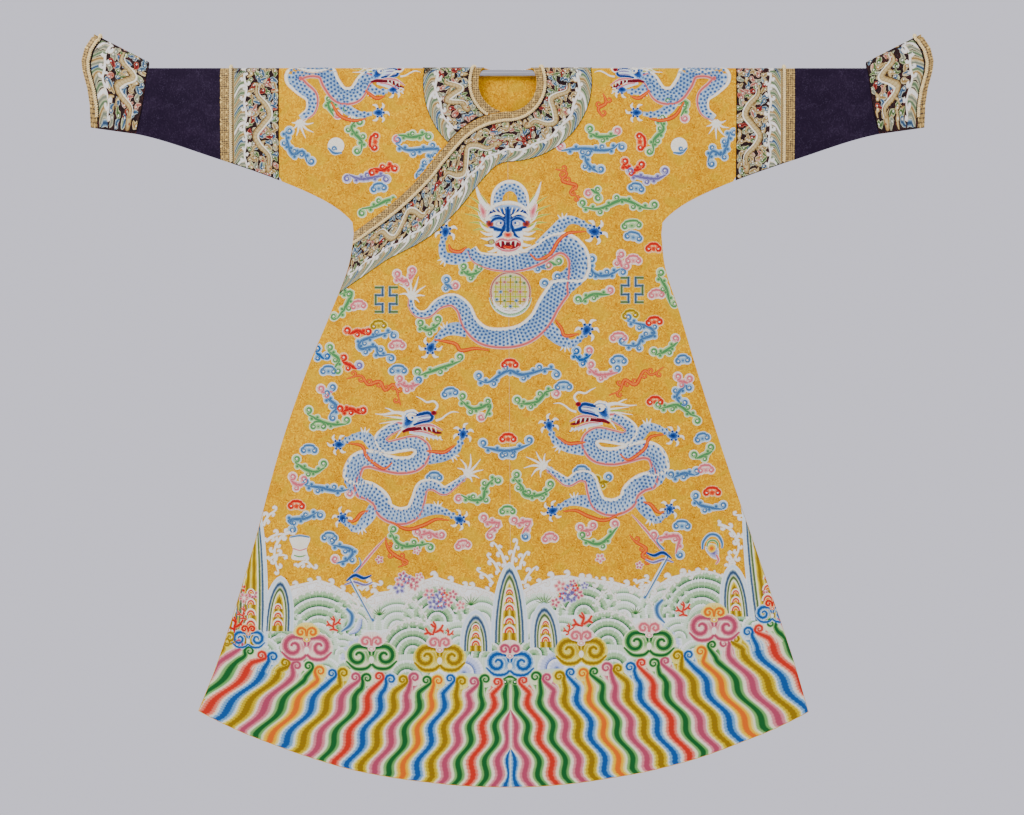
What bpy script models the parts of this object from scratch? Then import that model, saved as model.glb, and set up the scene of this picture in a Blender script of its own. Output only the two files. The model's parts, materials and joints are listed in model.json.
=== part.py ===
"""Court robe with dragons, spread on a straight rod that runs through both sleeves.

Metres, +Z up. The front faces -Y, and +X is the wearer's left side. The origin is on the
rod's axis, at the middle of the neck opening. "drop" is the distance below the rod's axis,
"reach" the distance to either side of the neck's middle, and "down" the distance down the
cloth itself from the fold over the rod.
"""

import math
from collections import namedtuple

import bmesh
import bpy

# Rod
ROD_RADIUS = 0.0075
ROD_LENGTH = 1.46
ROD_SIDES = 28

# Cloth
CLOTH = 0.002           # wall of the outer panels
UNDER_CLOTH = 0.0015    # wall of the right front, which goes on behind the flap
TRIM = 0.001            # facing and binding, laid on a panel
SEAM_GAP = 0.0003       # between pieces that are sewn edge to edge
LAYER_GAP = 0.0005      # between layers that lie on each other
CORD_RADIUS = 0.0022    # piping
CORD_SIDES = 6
FOLD_RADIUS = 0.009     # inside of the cloth as it turns over the rod
FOLD_STEPS = 3
UNDERLAP = UNDER_CLOTH + LAYER_GAP

# Neck and the flap's edge
NECK_RADIUS = 0.0595
NECK_DROP = 0.0205      # from the rod's axis to the middle of the neck's round
BACK_NECK_DIP = 0.014   # of the back neckline below the fold
BINDING_WIDTH = 0.0145
CORD_OFFSET = 0.0178    # of the piping from the neck's edge
FACING_START = 0.0210
FACING_AT_SHOULDER = 0.114
FACING_ON_FLAP = 0.103
FACING_AT_SIDE = 0.086
FACING_NARROWS = 0.21   # reach beyond which the facing narrows towards the side seam

# Skirt
RING_STEPS = 10
FLAP_STEPS = 20
FLAP_CLEARANCE = 0.0012  # between the flap's edge and what lies on the right front
HEM_DROP = 1.464        # at the lowest point of the hem
HEM_ARC = 1.367         # radius of the hem's arc
HEM_MIDDLE = -0.006     # where the hem is lowest

# Sleeves
SLEEVE_SEAM = 0.469     # reach of the seam between the body's silk and the sleeve band
BAND_END = 0.568
BROCADE_END = 0.590
EDGING_WIDTH = 0.0145   # brocade round the cuff's open end

# Depth of the hollow between front and back, on each side of the middle plane
SEAM_CLOSING = 0.120    # the hollow narrows over this distance to the side and sleeve seams
SLEEVE_HOLLOW = 0.0105
CUFF_FOLD_RADIUS = 0.004
CUFF_HOLLOW = 0.009
CUFF_CLOSING = 0.060

Side = namedtuple("Side", "drop right left")
SIDE_SEAMS = [          # reach of the side seams, wearer's right and left
    Side(0.312, 0.3147, 0.3147),
    Side(0.330, 0.3160, 0.3163),
    Side(0.385, 0.3240, 0.3215),
    Side(0.489, 0.3620, 0.3530),
    Side(0.610, 0.4120, 0.3895),
    Side(0.768, 0.4665, 0.4400),
    Side(0.996, 0.5290, 0.5175),
    Side(1.215, 0.5980, 0.5915),
    Side(1.310, 0.6355, 0.6190),
]

Under = namedtuple("Under", "reach drop")
SLEEVE_UNDERSIDE = [    # from the underarm to the cuff
    Under(0.3147, 0.3120),
    Under(0.3290, 0.2950),
    Under(0.3700, 0.2650),
    Under(0.4690, 0.2200),
    Under(0.5930, 0.1765),
    Under(0.7640, 0.1245),
    Under(0.8570, 0.1115),
]

Edge = namedtuple("Edge", "reach drop")
FLAP_EDGE = [           # from the bottom of the neck's round to the wearer's right side
    Edge(0.0000, 0.0800),
    Edge(0.0360, 0.0860),
    Edge(0.0650, 0.0970),
    Edge(0.0940, 0.1160),
    Edge(0.1450, 0.1710),
    Edge(0.1720, 0.2060),
    Edge(0.2290, 0.2620),
    Edge(0.2920, 0.3100),
    Edge(0.3700, 0.3640),
]

CentreSeam = namedtuple("CentreSeam", "drop place")
CENTRE_SEAM = [
    CentreSeam(0.080, 0.000),
    CentreSeam(0.550, 0.003),
    CentreSeam(1.470, 0.009),
]

Hollow = namedtuple("Hollow", "drop depth")
BODY_HOLLOW = [
    Hollow(0.00, 0.0090),
    Hollow(0.15, 0.0105),
    Hollow(0.35, 0.0130),
    Hollow(0.80, 0.0170),
    Hollow(1.47, 0.0220),
]

CuffLine = namedtuple("CuffLine", "height seam edge")
CUFF_LINES = [          # the cuff's inner seam and its open edge
    CuffLine(0.0234, 0.7370, 0.8500),
    CuffLine(0.0000, 0.7395, 0.8680),
    CuffLine(-0.0150, 0.7420, 0.8745),
    CuffLine(-0.0355, 0.7445, 0.8725),
    CuffLine(-0.0600, 0.7485, 0.8625),
    CuffLine(-0.0850, 0.7535, 0.8575),
    CuffLine(-0.1245, 0.7637, 0.8570),
]
CuffRise = namedtuple("CuffRise", "seam_height edge_height")
CUFF_RISES = [          # heights of the same lines at the seam and at the open edge
    CuffRise(0.0234, 0.0810),
    CuffRise(0.0000, 0.0510),
    CuffRise(-0.0150, 0.0250),
    CuffRise(-0.0355, 0.0050),
    CuffRise(-0.0600, -0.0320),
    CuffRise(-0.0850, -0.0660),
    CuffRise(-0.1245, -0.1115),
]

Fold = namedtuple("Fold", "side x_high drop_high x_low drop_low height half_width to_hem")
FOLDS = [
    Fold("front", -0.200, 0.45, -0.330, 1.43, 0.0060, 0.050, True),
    Fold("front", -0.110, 0.55, -0.165, 1.46, -0.0050, 0.045, True),
    Fold("front", 0.030, 0.66, 0.045, 1.47, 0.0035, 0.050, True),
    Fold("front", 0.130, 0.50, 0.215, 1.45, -0.0055, 0.048, True),
    Fold("front", 0.215, 0.46, 0.390, 1.42, 0.0055, 0.052, True),
    Fold("front", -0.310, 0.66, -0.490, 1.38, -0.0045, 0.040, True),
    Fold("front", 0.320, 0.72, 0.490, 1.38, -0.0040, 0.040, True),
    Fold("front", 0.390, 0.15, 0.190, 0.44, -0.0030, 0.034, False),
    Fold("front", -0.400, 0.13, -0.215, 0.40, -0.0026, 0.034, False),
    Fold("back", -0.190, 0.42, -0.350, 1.42, -0.0050, 0.050, True),
    Fold("back", -0.060, 0.52, -0.110, 1.46, 0.0055, 0.048, True),
    Fold("back", 0.080, 0.60, 0.130, 1.46, -0.0045, 0.045, True),
    Fold("back", 0.200, 0.48, 0.330, 1.43, 0.0060, 0.052, True),
    Fold("back", 0.300, 0.70, 0.480, 1.38, -0.0045, 0.042, True),
    Fold("back", -0.400, 0.14, -0.190, 0.45, -0.0030, 0.034, False),
    Fold("back", 0.385, 0.16, 0.205, 0.42, -0.0028, 0.034, False),
]

# Shares of a panel's width at which its columns stand, closer near the side seam
COLUMNS = (0.0, 0.13, 0.27, 0.41, 0.54, 0.66, 0.77, 0.86, 0.93, 0.975, 1.0)
SKIRT_SHARES = (0.04, 0.09, 0.16, 0.25, 0.36, 0.48, 0.61, 0.74, 0.87, 1.0)
FLAP_ROWS = 6           # from the flap's slanting edge to the underarm
SLEEVE_SHARES = (0.0, 0.25, 0.50, 0.72, 0.88, 1.0)

Paint = namedtuple("Paint", "colour roughness metallic")
PAINTS = {
    "rod_metal": Paint((0.62, 0.62, 0.64), 0.32, 1.0),
    "yellow_silk": Paint((0.68, 0.36, 0.025), 0.55, 0.0),
    "navy_silk": Paint((0.018, 0.013, 0.026), 0.45, 0.0),
    "dark_embroidery": Paint((0.05, 0.045, 0.055), 0.60, 0.0),
    "gold_brocade": Paint((0.45, 0.32, 0.11), 0.45, 0.2),
    "piping_cord": Paint((0.80, 0.66, 0.40), 0.50, 0.0),
}


def table_curve(places, values, flat_start=False):
    """A smooth curve through a table's rows that never swings past them."""
    steps = [(values[i + 1] - values[i]) / (places[i + 1] - places[i]) for i in range(len(places) - 1)]
    slopes = [0.0 if flat_start else steps[0]]
    for before, after in zip(steps, steps[1:]):
        slopes.append(0.0 if before * after <= 0 else 2 * before * after / (before + after))
    slopes.append(steps[-1])

    def at(place):
        if place <= places[0]:
            return values[0] + slopes[0] * (place - places[0])
        if place >= places[-1]:
            return values[-1] + slopes[-1] * (place - places[-1])
        i = max(k for k in range(len(places) - 1) if places[k] <= place)
        width = places[i + 1] - places[i]
        t = (place - places[i]) / width
        return (values[i] * (1 + 2 * t) * (1 - t) ** 2 + values[i + 1] * t * t * (3 - 2 * t)
                + width * (slopes[i] * t * (1 - t) ** 2 - slopes[i + 1] * t * t * (1 - t)))

    return at


def column(table, name):
    return [getattr(row, name) for row in table]


side_reach = {
    -1: table_curve(column(SIDE_SEAMS, "drop"), column(SIDE_SEAMS, "right")),
    1: table_curve(column(SIDE_SEAMS, "drop"), column(SIDE_SEAMS, "left")),
}
under_drop = table_curve(column(SLEEVE_UNDERSIDE, "reach"), column(SLEEVE_UNDERSIDE, "drop"))
flap_drop = table_curve(column(FLAP_EDGE, "reach"), column(FLAP_EDGE, "drop"), flat_start=True)
centre_place = table_curve(column(CENTRE_SEAM, "drop"), column(CENTRE_SEAM, "place"))
body_hollow = table_curve(column(BODY_HOLLOW, "drop"), column(BODY_HOLLOW, "depth"), flat_start=True)

QUARTER = 0.5 * math.pi * FOLD_RADIUS     # cloth from the top of the fold to the rod's axis
FOLD_DOWNS = [max(SEAM_GAP / 2, QUARTER * step / FOLD_STEPS) for step in range(FOLD_STEPS)]
NECK_DOWN = QUARTER + NECK_DROP
UNDERARM = SIDE_SEAMS[0]
CORNER_DROP = SIDE_SEAMS[-1].drop


def lerp(a, b, t):
    return a + (b - a) * t


def smooth(t):
    t = min(1.0, max(0.0, t))
    return t * t * (3 - 2 * t)


def solve(function, low, high):
    """The place between low and high where a function changes its sign."""
    low_sign = function(low) > 0
    for _ in range(40):
        middle = 0.5 * (low + high)
        if (function(middle) > 0) == low_sign:
            low = middle
        else:
            high = middle
    return 0.5 * (low + high)


def seam_line(side):
    """Points along a sleeve's underside and down the side seam, at about 15 mm."""
    points = []
    reach = SLEEVE_UNDERSIDE[-1].reach + 0.1
    while reach > UNDERARM.right:
        points.append((side * reach, -under_drop(reach)))
        reach -= 0.015
    drop = UNDERARM.drop
    while drop < CORNER_DROP + 0.15:
        points.append((side * side_reach[side](drop), -drop))
        drop += 0.015
    return points


SEAM_LINES = {-1: seam_line(-1), 1: seam_line(1)}
FLAP_LOW_REACH = solve(lambda reach: side_reach[-1](max(UNDERARM.drop, flap_drop(reach))) - reach, 0.25, 0.36)
FLAP_LOW_DROP = flap_drop(FLAP_LOW_REACH) + 0.004


def distance_to_seam(x, z):
    line = SEAM_LINES[1 if x > 0 else -1]
    nearest = 1.0
    for (ax, az), (bx, bz) in zip(line, line[1:]):
        dx, dz = bx - ax, bz - az
        t = min(1.0, max(0.0, ((x - ax) * dx + (z - az) * dz) / (dx * dx + dz * dz)))
        nearest = min(nearest, math.hypot(x - ax - t * dx, z - az - t * dz))
    return nearest


def fold_height(side, x, z):
    """What the large soft folds add to the hollow."""
    total = 0.0
    for fold in FOLDS:
        if fold.side != side:
            continue
        dx, dz = fold.x_low - fold.x_high, fold.drop_high - fold.drop_low
        t = ((x - fold.x_high) * dx + (z + fold.drop_high) * dz) / (dx * dx + dz * dz)
        across = abs((x - fold.x_high) * dz - (z + fold.drop_high) * dx) / math.hypot(dx, dz)
        along = smooth(t / 0.7) if fold.to_hem else smooth(t / 0.4) * smooth((1 - t) / 0.4)
        total += fold.height * along * math.exp(-(across / fold.half_width) ** 2)
    return total


def hollow(side, x, z):
    """Distance from the middle plane to the inside of the cloth, below the rod's axis."""
    away_from_body = smooth((abs(x) - 0.26) / 0.20)
    depth = lerp(body_hollow(-z), min(body_hollow(-z), SLEEVE_HOLLOW), away_from_body)
    depth += fold_height(side, x, z)
    near = min(1.0, distance_to_seam(x, z) / SEAM_CLOSING)
    return SEAM_GAP / 2 + (depth - SEAM_GAP / 2) * near * (2 - near)


def cloth_point(side, x, down, out):
    """A place on the body or a sleeve: out is the distance from the inside of the cloth."""
    if down < QUARTER:
        turn = 0.5 * math.pi - down / FOLD_RADIUS
        y, z = (FOLD_RADIUS + out) * math.cos(turn), (FOLD_RADIUS + out) * math.sin(turn)
    else:
        z = QUARTER - down
        y = hollow(side, x, z) + out
    return (x, -y if side == "front" else y, z)


def cuff_point(side, x, z_from_axis, axis_height, out):
    """A place on a cuff. z_from_axis above zero is an angle round the fold, from its axis."""
    if z_from_axis > 0:
        y = (CUFF_FOLD_RADIUS + out) * math.cos(z_from_axis)
        z = axis_height + (CUFF_FOLD_RADIUS + out) * math.sin(z_from_axis)
        return (x, -y if side == "front" else y, z)
    z = axis_height + z_from_axis
    depth = lerp(CUFF_FOLD_RADIUS, CUFF_HOLLOW, smooth(-z_from_axis / 0.03))
    near = min(1.0, max(0.0, (z + under_drop(abs(x))) / CUFF_CLOSING))
    y = SEAM_GAP / 2 + (depth - SEAM_GAP / 2) * near * (2 - near) + out
    return (x, -y if side == "front" else y, z)


def material(name):
    found = bpy.data.materials.get(name)
    if found:
        return found
    made = bpy.data.materials.new(name)
    made.use_nodes = True
    shader = made.node_tree.nodes["Principled BSDF"]
    paint = PAINTS[name]
    shader.inputs["Base Color"].default_value = (*paint.colour, 1.0)
    shader.inputs["Roughness"].default_value = paint.roughness
    shader.inputs["Metallic"].default_value = paint.metallic
    made.diffuse_color = (*paint.colour, 1.0)
    return made


def add_object(name, mesh_faces, paint):
    """An object from a bmesh whose faces close one body."""
    bmesh.ops.recalc_face_normals(mesh_faces, faces=mesh_faces.faces)
    bmesh.ops.triangulate(mesh_faces, faces=mesh_faces.faces, quad_method="SHORT_EDGE")
    mesh = bpy.data.meshes.new(name)
    mesh_faces.to_mesh(mesh)
    mesh_faces.free()
    mesh.shade_smooth()
    mesh.set_sharp_from_angle(angle=math.radians(40))
    mesh.materials.append(material(paint))
    made = bpy.data.objects.new(name, mesh)
    bpy.context.scene.collection.objects.link(made)
    return made


def wall(name, inside, outside, paint):
    """A closed wall between two grids of points with the same rows and columns."""
    body = bmesh.new()
    grids = [[[body.verts.new(point) for point in row] for row in grid] for grid in (inside, outside)]
    rows, columns = len(inside), len(inside[0])
    for grid in grids:
        for i in range(rows - 1):
            for j in range(columns - 1):
                body.faces.new((grid[i][j], grid[i][j + 1], grid[i + 1][j + 1], grid[i + 1][j]))
    rim = ([(0, j) for j in range(columns)] + [(i, columns - 1) for i in range(1, rows)]
           + [(rows - 1, j) for j in range(columns - 2, -1, -1)] + [(i, 0) for i in range(rows - 2, 0, -1)])
    for (a, b), (c, d) in zip(rim, rim[1:] + rim[:1]):
        body.faces.new((grids[0][a][b], grids[0][c][d], grids[1][c][d], grids[1][a][b]))
    return add_object(name, body, paint)


def cord(name, path, outward, paint="piping_cord"):
    """A round cord along a path; outward gives the direction away from the cloth at each point."""
    body = bmesh.new()
    rings = []
    for i, point in enumerate(path):
        before, after = path[max(0, i - 1)], path[min(len(path) - 1, i + 1)]
        along = [b - a for a, b in zip(before, after)]
        length = math.sqrt(sum(c * c for c in along))
        along = [c / length for c in along]
        out = outward[i]
        across = [along[1] * out[2] - along[2] * out[1], along[2] * out[0] - along[0] * out[2],
                  along[0] * out[1] - along[1] * out[0]]
        size = math.sqrt(sum(c * c for c in across))
        across = [c / size for c in across]
        ring = []
        for k in range(CORD_SIDES):
            turn = 2 * math.pi * k / CORD_SIDES
            ring.append(body.verts.new([p + CORD_RADIUS * (math.cos(turn) * a + math.sin(turn) * o)
                                        for p, a, o in zip(point, across, out)]))
        rings.append(ring)
    for ring, following in zip(rings, rings[1:]):
        for k in range(CORD_SIDES):
            m = (k + 1) % CORD_SIDES
            body.faces.new((ring[k], ring[m], following[m], following[k]))
    body.faces.new(rings[0])
    body.faces.new(rings[-1])
    return add_object(name, body, paint)


def cloth_wall(name, side, places, lift, thickness, paint):
    """A wall over flat places (x, down); lift is how far its inside stands off the hollow."""
    def layer(extra):
        return [[cloth_point(side, x, down, lift(x, down) + extra) for x, down in row] for row in places]
    return wall(name, layer(0.0), layer(thickness), paint)


# ---- lifts: how far each layer stands off the hollow -------------------------------------

def no_lift(x, down):
    return 0.0


def outer_front_lift(x, down):
    """The outer front lies on the right front near the centre and all over the flap."""
    return UNDERLAP * (1 - smooth((x - 0.07) / 0.15)) * smooth((down - QUARTER) / 0.06)


def on_outer_front(x, down):
    return outer_front_lift(x, down) + CLOTH + LAYER_GAP


def on_right_front(x, down):
    return UNDER_CLOTH + LAYER_GAP


def on_back(x, down):
    return CLOTH + LAYER_GAP


# ---- panels ------------------------------------------------------------------------------

def upper_reach(drop):
    """Reach of a panel's outer edge above the underarm: the sleeve seam, then the underside."""
    if drop <= under_drop(SLEEVE_SEAM):
        return SLEEVE_SEAM
    return solve(lambda reach: under_drop(reach) - drop, UNDERARM.right, SLEEVE_SEAM)


def hem_drop(x):
    return HEM_DROP - HEM_ARC + math.sqrt(HEM_ARC ** 2 - (x - HEM_MIDDLE) ** 2)


def level_row(side, inner_edge):
    """The row from the underarm to the inner edge, sagging a little to the middle."""
    row = []
    for share in COLUMNS:
        drop = FLAP_LOW_DROP + 0.02 * (1 - share)
        row.append((lerp(inner_edge(drop), side * side_reach[side](FLAP_LOW_DROP), share), QUARTER + drop))
    return row


def skirt_rows(side, inner_edge, parts=SKIRT_SHARES):
    """Rows below the underarm, turning gradually into the hem's arc."""
    corner = side_reach[side](CORNER_DROP)
    rows = [level_row(side, inner_edge)]
    for part in parts:
        edge = side * side_reach[side](lerp(FLAP_LOW_DROP, CORNER_DROP, part))
        row = []
        for share in COLUMNS:
            at_hem = lerp(inner_edge(HEM_DROP), side * corner, share)
            drop = lerp(FLAP_LOW_DROP + 0.02 * (1 - share), hem_drop(at_hem), part)
            row.append((lerp(inner_edge(drop), edge, share), QUARTER + drop))
        rows.append(row)
    return rows


def upper_rows(side, inner_edge, drops):
    """Rows of a body panel above the underarm, over the fold first."""
    rows = []
    for down in FOLD_DOWNS:
        start = inner_edge(down - QUARTER)
        rows.append([(lerp(start, side * SLEEVE_SEAM, share), down) for share in COLUMNS])
    for drop in drops:
        start, end = inner_edge(drop), side * upper_reach(drop)
        rows.append([(lerp(start, end, share), QUARTER + drop) for share in COLUMNS])
    return rows


def neck_reach(drop):
    """Half the width of the neck opening at a drop, or none below it."""
    inside = NECK_RADIUS ** 2 - (drop - NECK_DROP) ** 2
    return math.sqrt(inside) if inside > 0 else 0.0


def neck_drops():
    turns = (0, 22, 44, 62, 76, 85, 90)
    return [0.0] + [NECK_DROP + NECK_RADIUS * math.sin(math.radians(turn)) for turn in turns]


def back_neck_edge(side):
    """The back neckline: a shallow dip between the two ends of the front's round."""
    half = neck_reach(-QUARTER)

    def edge(drop):
        down = QUARTER + drop
        if down < BACK_NECK_DIP:
            return side * max(SEAM_GAP / 2, half * math.sqrt(1 - down / BACK_NECK_DIP))
        return side * SEAM_GAP / 2 + centre_place(max(drop, 0.08))
    return edge


def front_edge(side):
    """A front's inner edge: round the neck, then down the centre."""
    def edge(drop):
        if drop < NECK_DROP + NECK_RADIUS:
            return side * max(neck_reach(drop), SEAM_GAP / 2)
        return side * SEAM_GAP / 2 + centre_place(drop)
    return edge


def make_panels():
    sleeve_corner = under_drop(SLEEVE_SEAM)
    chest_drops = [0.105, 0.14, 0.18, sleeve_corner, 0.244, 0.268, 0.290, 0.306]
    front = front_edge(1)
    cloth_wall("front_left", "front",
               upper_rows(1, front, neck_drops() + chest_drops) + skirt_rows(1, front),
               outer_front_lift, CLOTH, "yellow_silk")
    front = front_edge(-1)
    cloth_wall("front_right", "front",
               upper_rows(-1, front, neck_drops()[:-1] + [0.086] + chest_drops[1:])
               + skirt_rows(-1, front, SKIRT_SHARES[:-1]), no_lift, UNDER_CLOTH, "yellow_silk")
    for side, name in ((-1, "back_right"), (1, "back_left")):
        edge = back_neck_edge(side)
        cloth_wall(name, "back",
                   upper_rows(side, edge, [0.0, 0.04, 0.09] + chest_drops[1:])
                   + skirt_rows(side, edge), no_lift, CLOTH, "yellow_silk")

    # the flap fans out from its slanting edge to the underarm, then follows the right front
    level = level_row(-1, front)
    rows = []
    for step in range(FLAP_ROWS):
        row = []
        for share, (low_x, low_down) in zip(COLUMNS, level):
            reach = lerp(SEAM_GAP / 2, FLAP_LOW_REACH, share)
            part = step / FLAP_ROWS
            row.append((lerp(-reach, low_x, part), lerp(QUARTER + flap_drop(reach), low_down, part)))
        rows.append(row)
    cloth_wall("front_flap", "front", rows + skirt_rows(-1, front),
               lambda x, down: UNDERLAP, CLOTH, "yellow_silk")


# ---- facing, binding and piping round the neck and down the flap ---------------------------

def ring_place(offset, turn):
    """A place round the neck, turn being the angle from straight down towards +X."""
    radius = NECK_RADIUS + offset
    return (radius * math.sin(turn), NECK_DOWN + radius * math.cos(turn))


def ring_rows(offset_at, end_turn):
    """Places round the neck, from the fold to a turn; the first ones keep to the fold's rows."""
    places = []
    for down in FOLD_DOWNS + [QUARTER]:
        offset = offset_at(0.0)
        turn = math.acos((down - NECK_DOWN) / (NECK_RADIUS + offset))
        places.append(ring_place(offset, turn))
    for step in range(1, RING_STEPS + 1):
        progress = step / RING_STEPS
        places.append(ring_place(offset_at(progress), lerp(turn, end_turn, progress)))
    return places


def flap_place(offset, reach):
    """A place beside the flap's edge, offset square to it into the flap."""
    small = 0.0005
    rise = (flap_drop(reach + small) - flap_drop(max(0.0, reach - small))) / (small + min(small, reach))
    if reach < small:
        rise = 0.0
    size = math.hypot(1.0, rise)
    return (-reach + offset * rise / size, QUARTER + flap_drop(reach) + offset / size)


def flap_offset(wanted, reach):
    """The facing's outer part draws in towards the side seam."""
    outer = lerp(FACING_ON_FLAP, FACING_AT_SIDE, smooth((reach - FACING_NARROWS) / 0.10))
    return wanted if wanted < FACING_START + 0.001 else wanted * outer / FACING_ON_FLAP


def flap_end(offset):
    """The reach at which a line beside the flap's edge comes to the side seam."""
    def beyond(reach):
        x, down = flap_place(flap_offset(offset, reach), reach)
        return side_reach[-1](max(UNDERARM.drop, down - QUARTER)) - 0.001 + x
    return solve(beyond, 0.2, 0.5)


def outer_offset(wanted, progress):
    """Facing is a little wider over the shoulder than on the flap."""
    if wanted < FACING_AT_SHOULDER:
        return wanted
    return lerp(FACING_AT_SHOULDER, FACING_ON_FLAP, smooth(progress))


def outer_path(wanted):
    """Places from the left shoulder round the neck and down the flap's edge."""
    places = ring_rows(lambda progress: outer_offset(wanted, progress), 0.0)
    offset = outer_offset(wanted, 1.0)
    end = flap_end(offset)
    for step in range(1, FLAP_STEPS + 1):
        reach = end * step / FLAP_STEPS
        places.append(flap_place(flap_offset(offset, reach), reach))
    return places


def inner_path(offset):
    """Places from the right shoulder round the neck to where the flap covers it."""
    def above_flap(turn):
        x, down = ring_place(offset, turn)
        return QUARTER + flap_drop(x) - FLAP_CLEARANCE - down
    end = max(math.radians(13), solve(above_flap, math.radians(1), math.radians(85)))
    return [(-x, down) for x, down in ring_rows(lambda progress: offset, end)]


def back_path(offset):
    """Places across the back neck, from shoulder to shoulder."""
    span = neck_reach(-QUARTER) + 1.1 * offset
    depth = BACK_NECK_DIP + offset
    downs = [down for down in FOLD_DOWNS + [QUARTER] if down < 0.9 * depth]
    turns = [math.asin(down / depth) for down in downs]
    steps = RING_STEPS + len(FOLD_DOWNS) - len(downs)
    turns += [lerp(turns[-1], 0.5 * math.pi, step / steps) for step in range(1, steps + 1)]
    half = [(span * math.cos(turn), depth * math.sin(turn)) for turn in turns]
    return half + [(-x, down) for x, down in half[-2::-1]]


def make_collar():
    ply_offsets = {
        "binding": [0.0004, BINDING_WIDTH],
        "facing": [FACING_START, 0.044, 0.067, 0.090, FACING_AT_SHOULDER],
    }
    lays = (("outer", "front", outer_path, on_outer_front), ("inner", "front", inner_path, on_right_front),
            ("back", "back", back_path, on_back))
    for where, side, path, lift in lays:
        for ply, paint in (("binding", "gold_brocade"), ("facing", "dark_embroidery")):
            places = [path(offset) for offset in ply_offsets[ply]]
            cloth_wall(f"{ply}_{where}", side, places, lift, TRIM, paint)
        lay_cord(f"piping_{where}", side, path(CORD_OFFSET), lift)


def lay_cord(name, side, places, lift):
    points, outward = [], []
    for x, down in places:
        foot = cloth_point(side, x, down, lift(x, down))
        centre = cloth_point(side, x, down, lift(x, down) + CORD_RADIUS)
        points.append(centre)
        outward.append([(c - f) / CORD_RADIUS for c, f in zip(centre, foot)])
    cord(name, points, outward)


# ---- sleeves -------------------------------------------------------------------------------

def cuff_seam(height):
    heights = [row.seam_height for row in CUFF_RISES][::-1]
    return table_curve(heights, column(CUFF_LINES, "seam")[::-1])(height)


def sleeve_places(start, end, columns):
    """Rows of a sleeve piece between two reaches, each a function of the drop."""
    rows = []
    for down in FOLD_DOWNS:
        drop = down - QUARTER
        rows.append([(lerp(start(drop), end(drop), j / columns), down) for j in range(columns + 1)])
    for share in SLEEVE_SHARES:
        row = []
        for j in range(columns + 1):
            part = j / columns
            reach = lerp(start(0.1), end(0.1), part)
            drop = share * under_drop(reach)
            reach = lerp(start(drop), end(drop), part)
            row.append((reach, QUARTER + share * under_drop(reach)))
        rows.append(row)
    return rows


def make_sleeves():
    half_gap = SEAM_GAP / 2
    lengths = (
        ("sleeve_band", lambda drop: SLEEVE_SEAM + SEAM_GAP, lambda drop: BAND_END - half_gap, 4,
         "dark_embroidery"),
        ("sleeve_brocade", lambda drop: BAND_END + half_gap, lambda drop: BROCADE_END - half_gap, 1,
         "gold_brocade"),
        ("lower_sleeve", lambda drop: BROCADE_END + half_gap, lambda drop: cuff_seam(-drop) - SEAM_GAP, 6,
         "navy_silk"),
    )
    for sign, wearer in ((-1, "right"), (1, "left")):
        for side in ("front", "back"):
            for name, start, end, columns, paint in lengths:
                places = [[(sign * reach, down) for reach, down in row]
                          for row in sleeve_places(start, end, columns)]
                cloth_wall(f"{name}_{wearer}_{side}", side, places, no_lift, CLOTH, paint)
            rows = sleeve_places(lambda drop: BAND_END, lambda drop: BAND_END, 1)
            places = [(sign * row[0][0], row[0][1]) for row in rows]
            places[-1] = (places[-1][0], places[-1][1] - 0.003)
            lay_cord(f"sleeve_piping_{wearer}_{side}", side, places, on_back)
            make_cuff(sign, wearer, side)


def cuff_line(row, share):
    """A place on one line across the cuff, as reach and height."""
    reach = lerp(CUFF_LINES[row].seam + SEAM_GAP, CUFF_LINES[row].edge, share)
    height = lerp(CUFF_RISES[row].seam_height, CUFF_RISES[row].edge_height, share)
    return reach, height


def cuff_grid(sign, side, out, start_width, end_width, columns):
    """Points of a cuff piece between two distances from the open edge (none = from the seam)."""
    grid = []
    top_gap = 0.5 * math.pi - SEAM_GAP / (2 * CUFF_FOLD_RADIUS)
    fold_out = CUFF_FOLD_RADIUS + CLOTH

    def share_of(row, width):
        if width is None:
            return 0.0
        a, b = cuff_line(row, 0.0), cuff_line(row, 1.0)
        return 1.0 - width / math.hypot(b[0] - a[0], b[1] - a[1])
    for row in range(len(CUFF_LINES)):
        shares = [lerp(share_of(row, start_width), share_of(row, end_width), j / columns)
                  for j in range(columns + 1)]
        points = [cuff_line(row, share) for share in shares]
        tops = [cuff_line(0, lerp(share_of(0, start_width), share_of(0, end_width), j / columns))
                for j in range(columns + 1)]
        if row == 0:
            for step in range(FOLD_STEPS + 1):
                turn = top_gap * (1 - step / FOLD_STEPS)
                grid.append([cuff_point(side, sign * x, turn, z - fold_out, out) for x, z in points])
            continue
        line = []
        for (x, z), (_, top) in zip(points, tops):
            axis = cuff_axis(x) - fold_out
            line.append(cuff_point(side, sign * x, min(-1e-6, z - axis), axis, out))
        grid.append(line)
    return grid


def cuff_axis(reach):
    """Height of the cuff's top fold at a reach."""
    inner, tip = cuff_line(0, 0.0), cuff_line(0, 1.0)
    return lerp(inner[1], tip[1], min(1.0, (reach - inner[0]) / (tip[0] - inner[0])))


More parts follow.
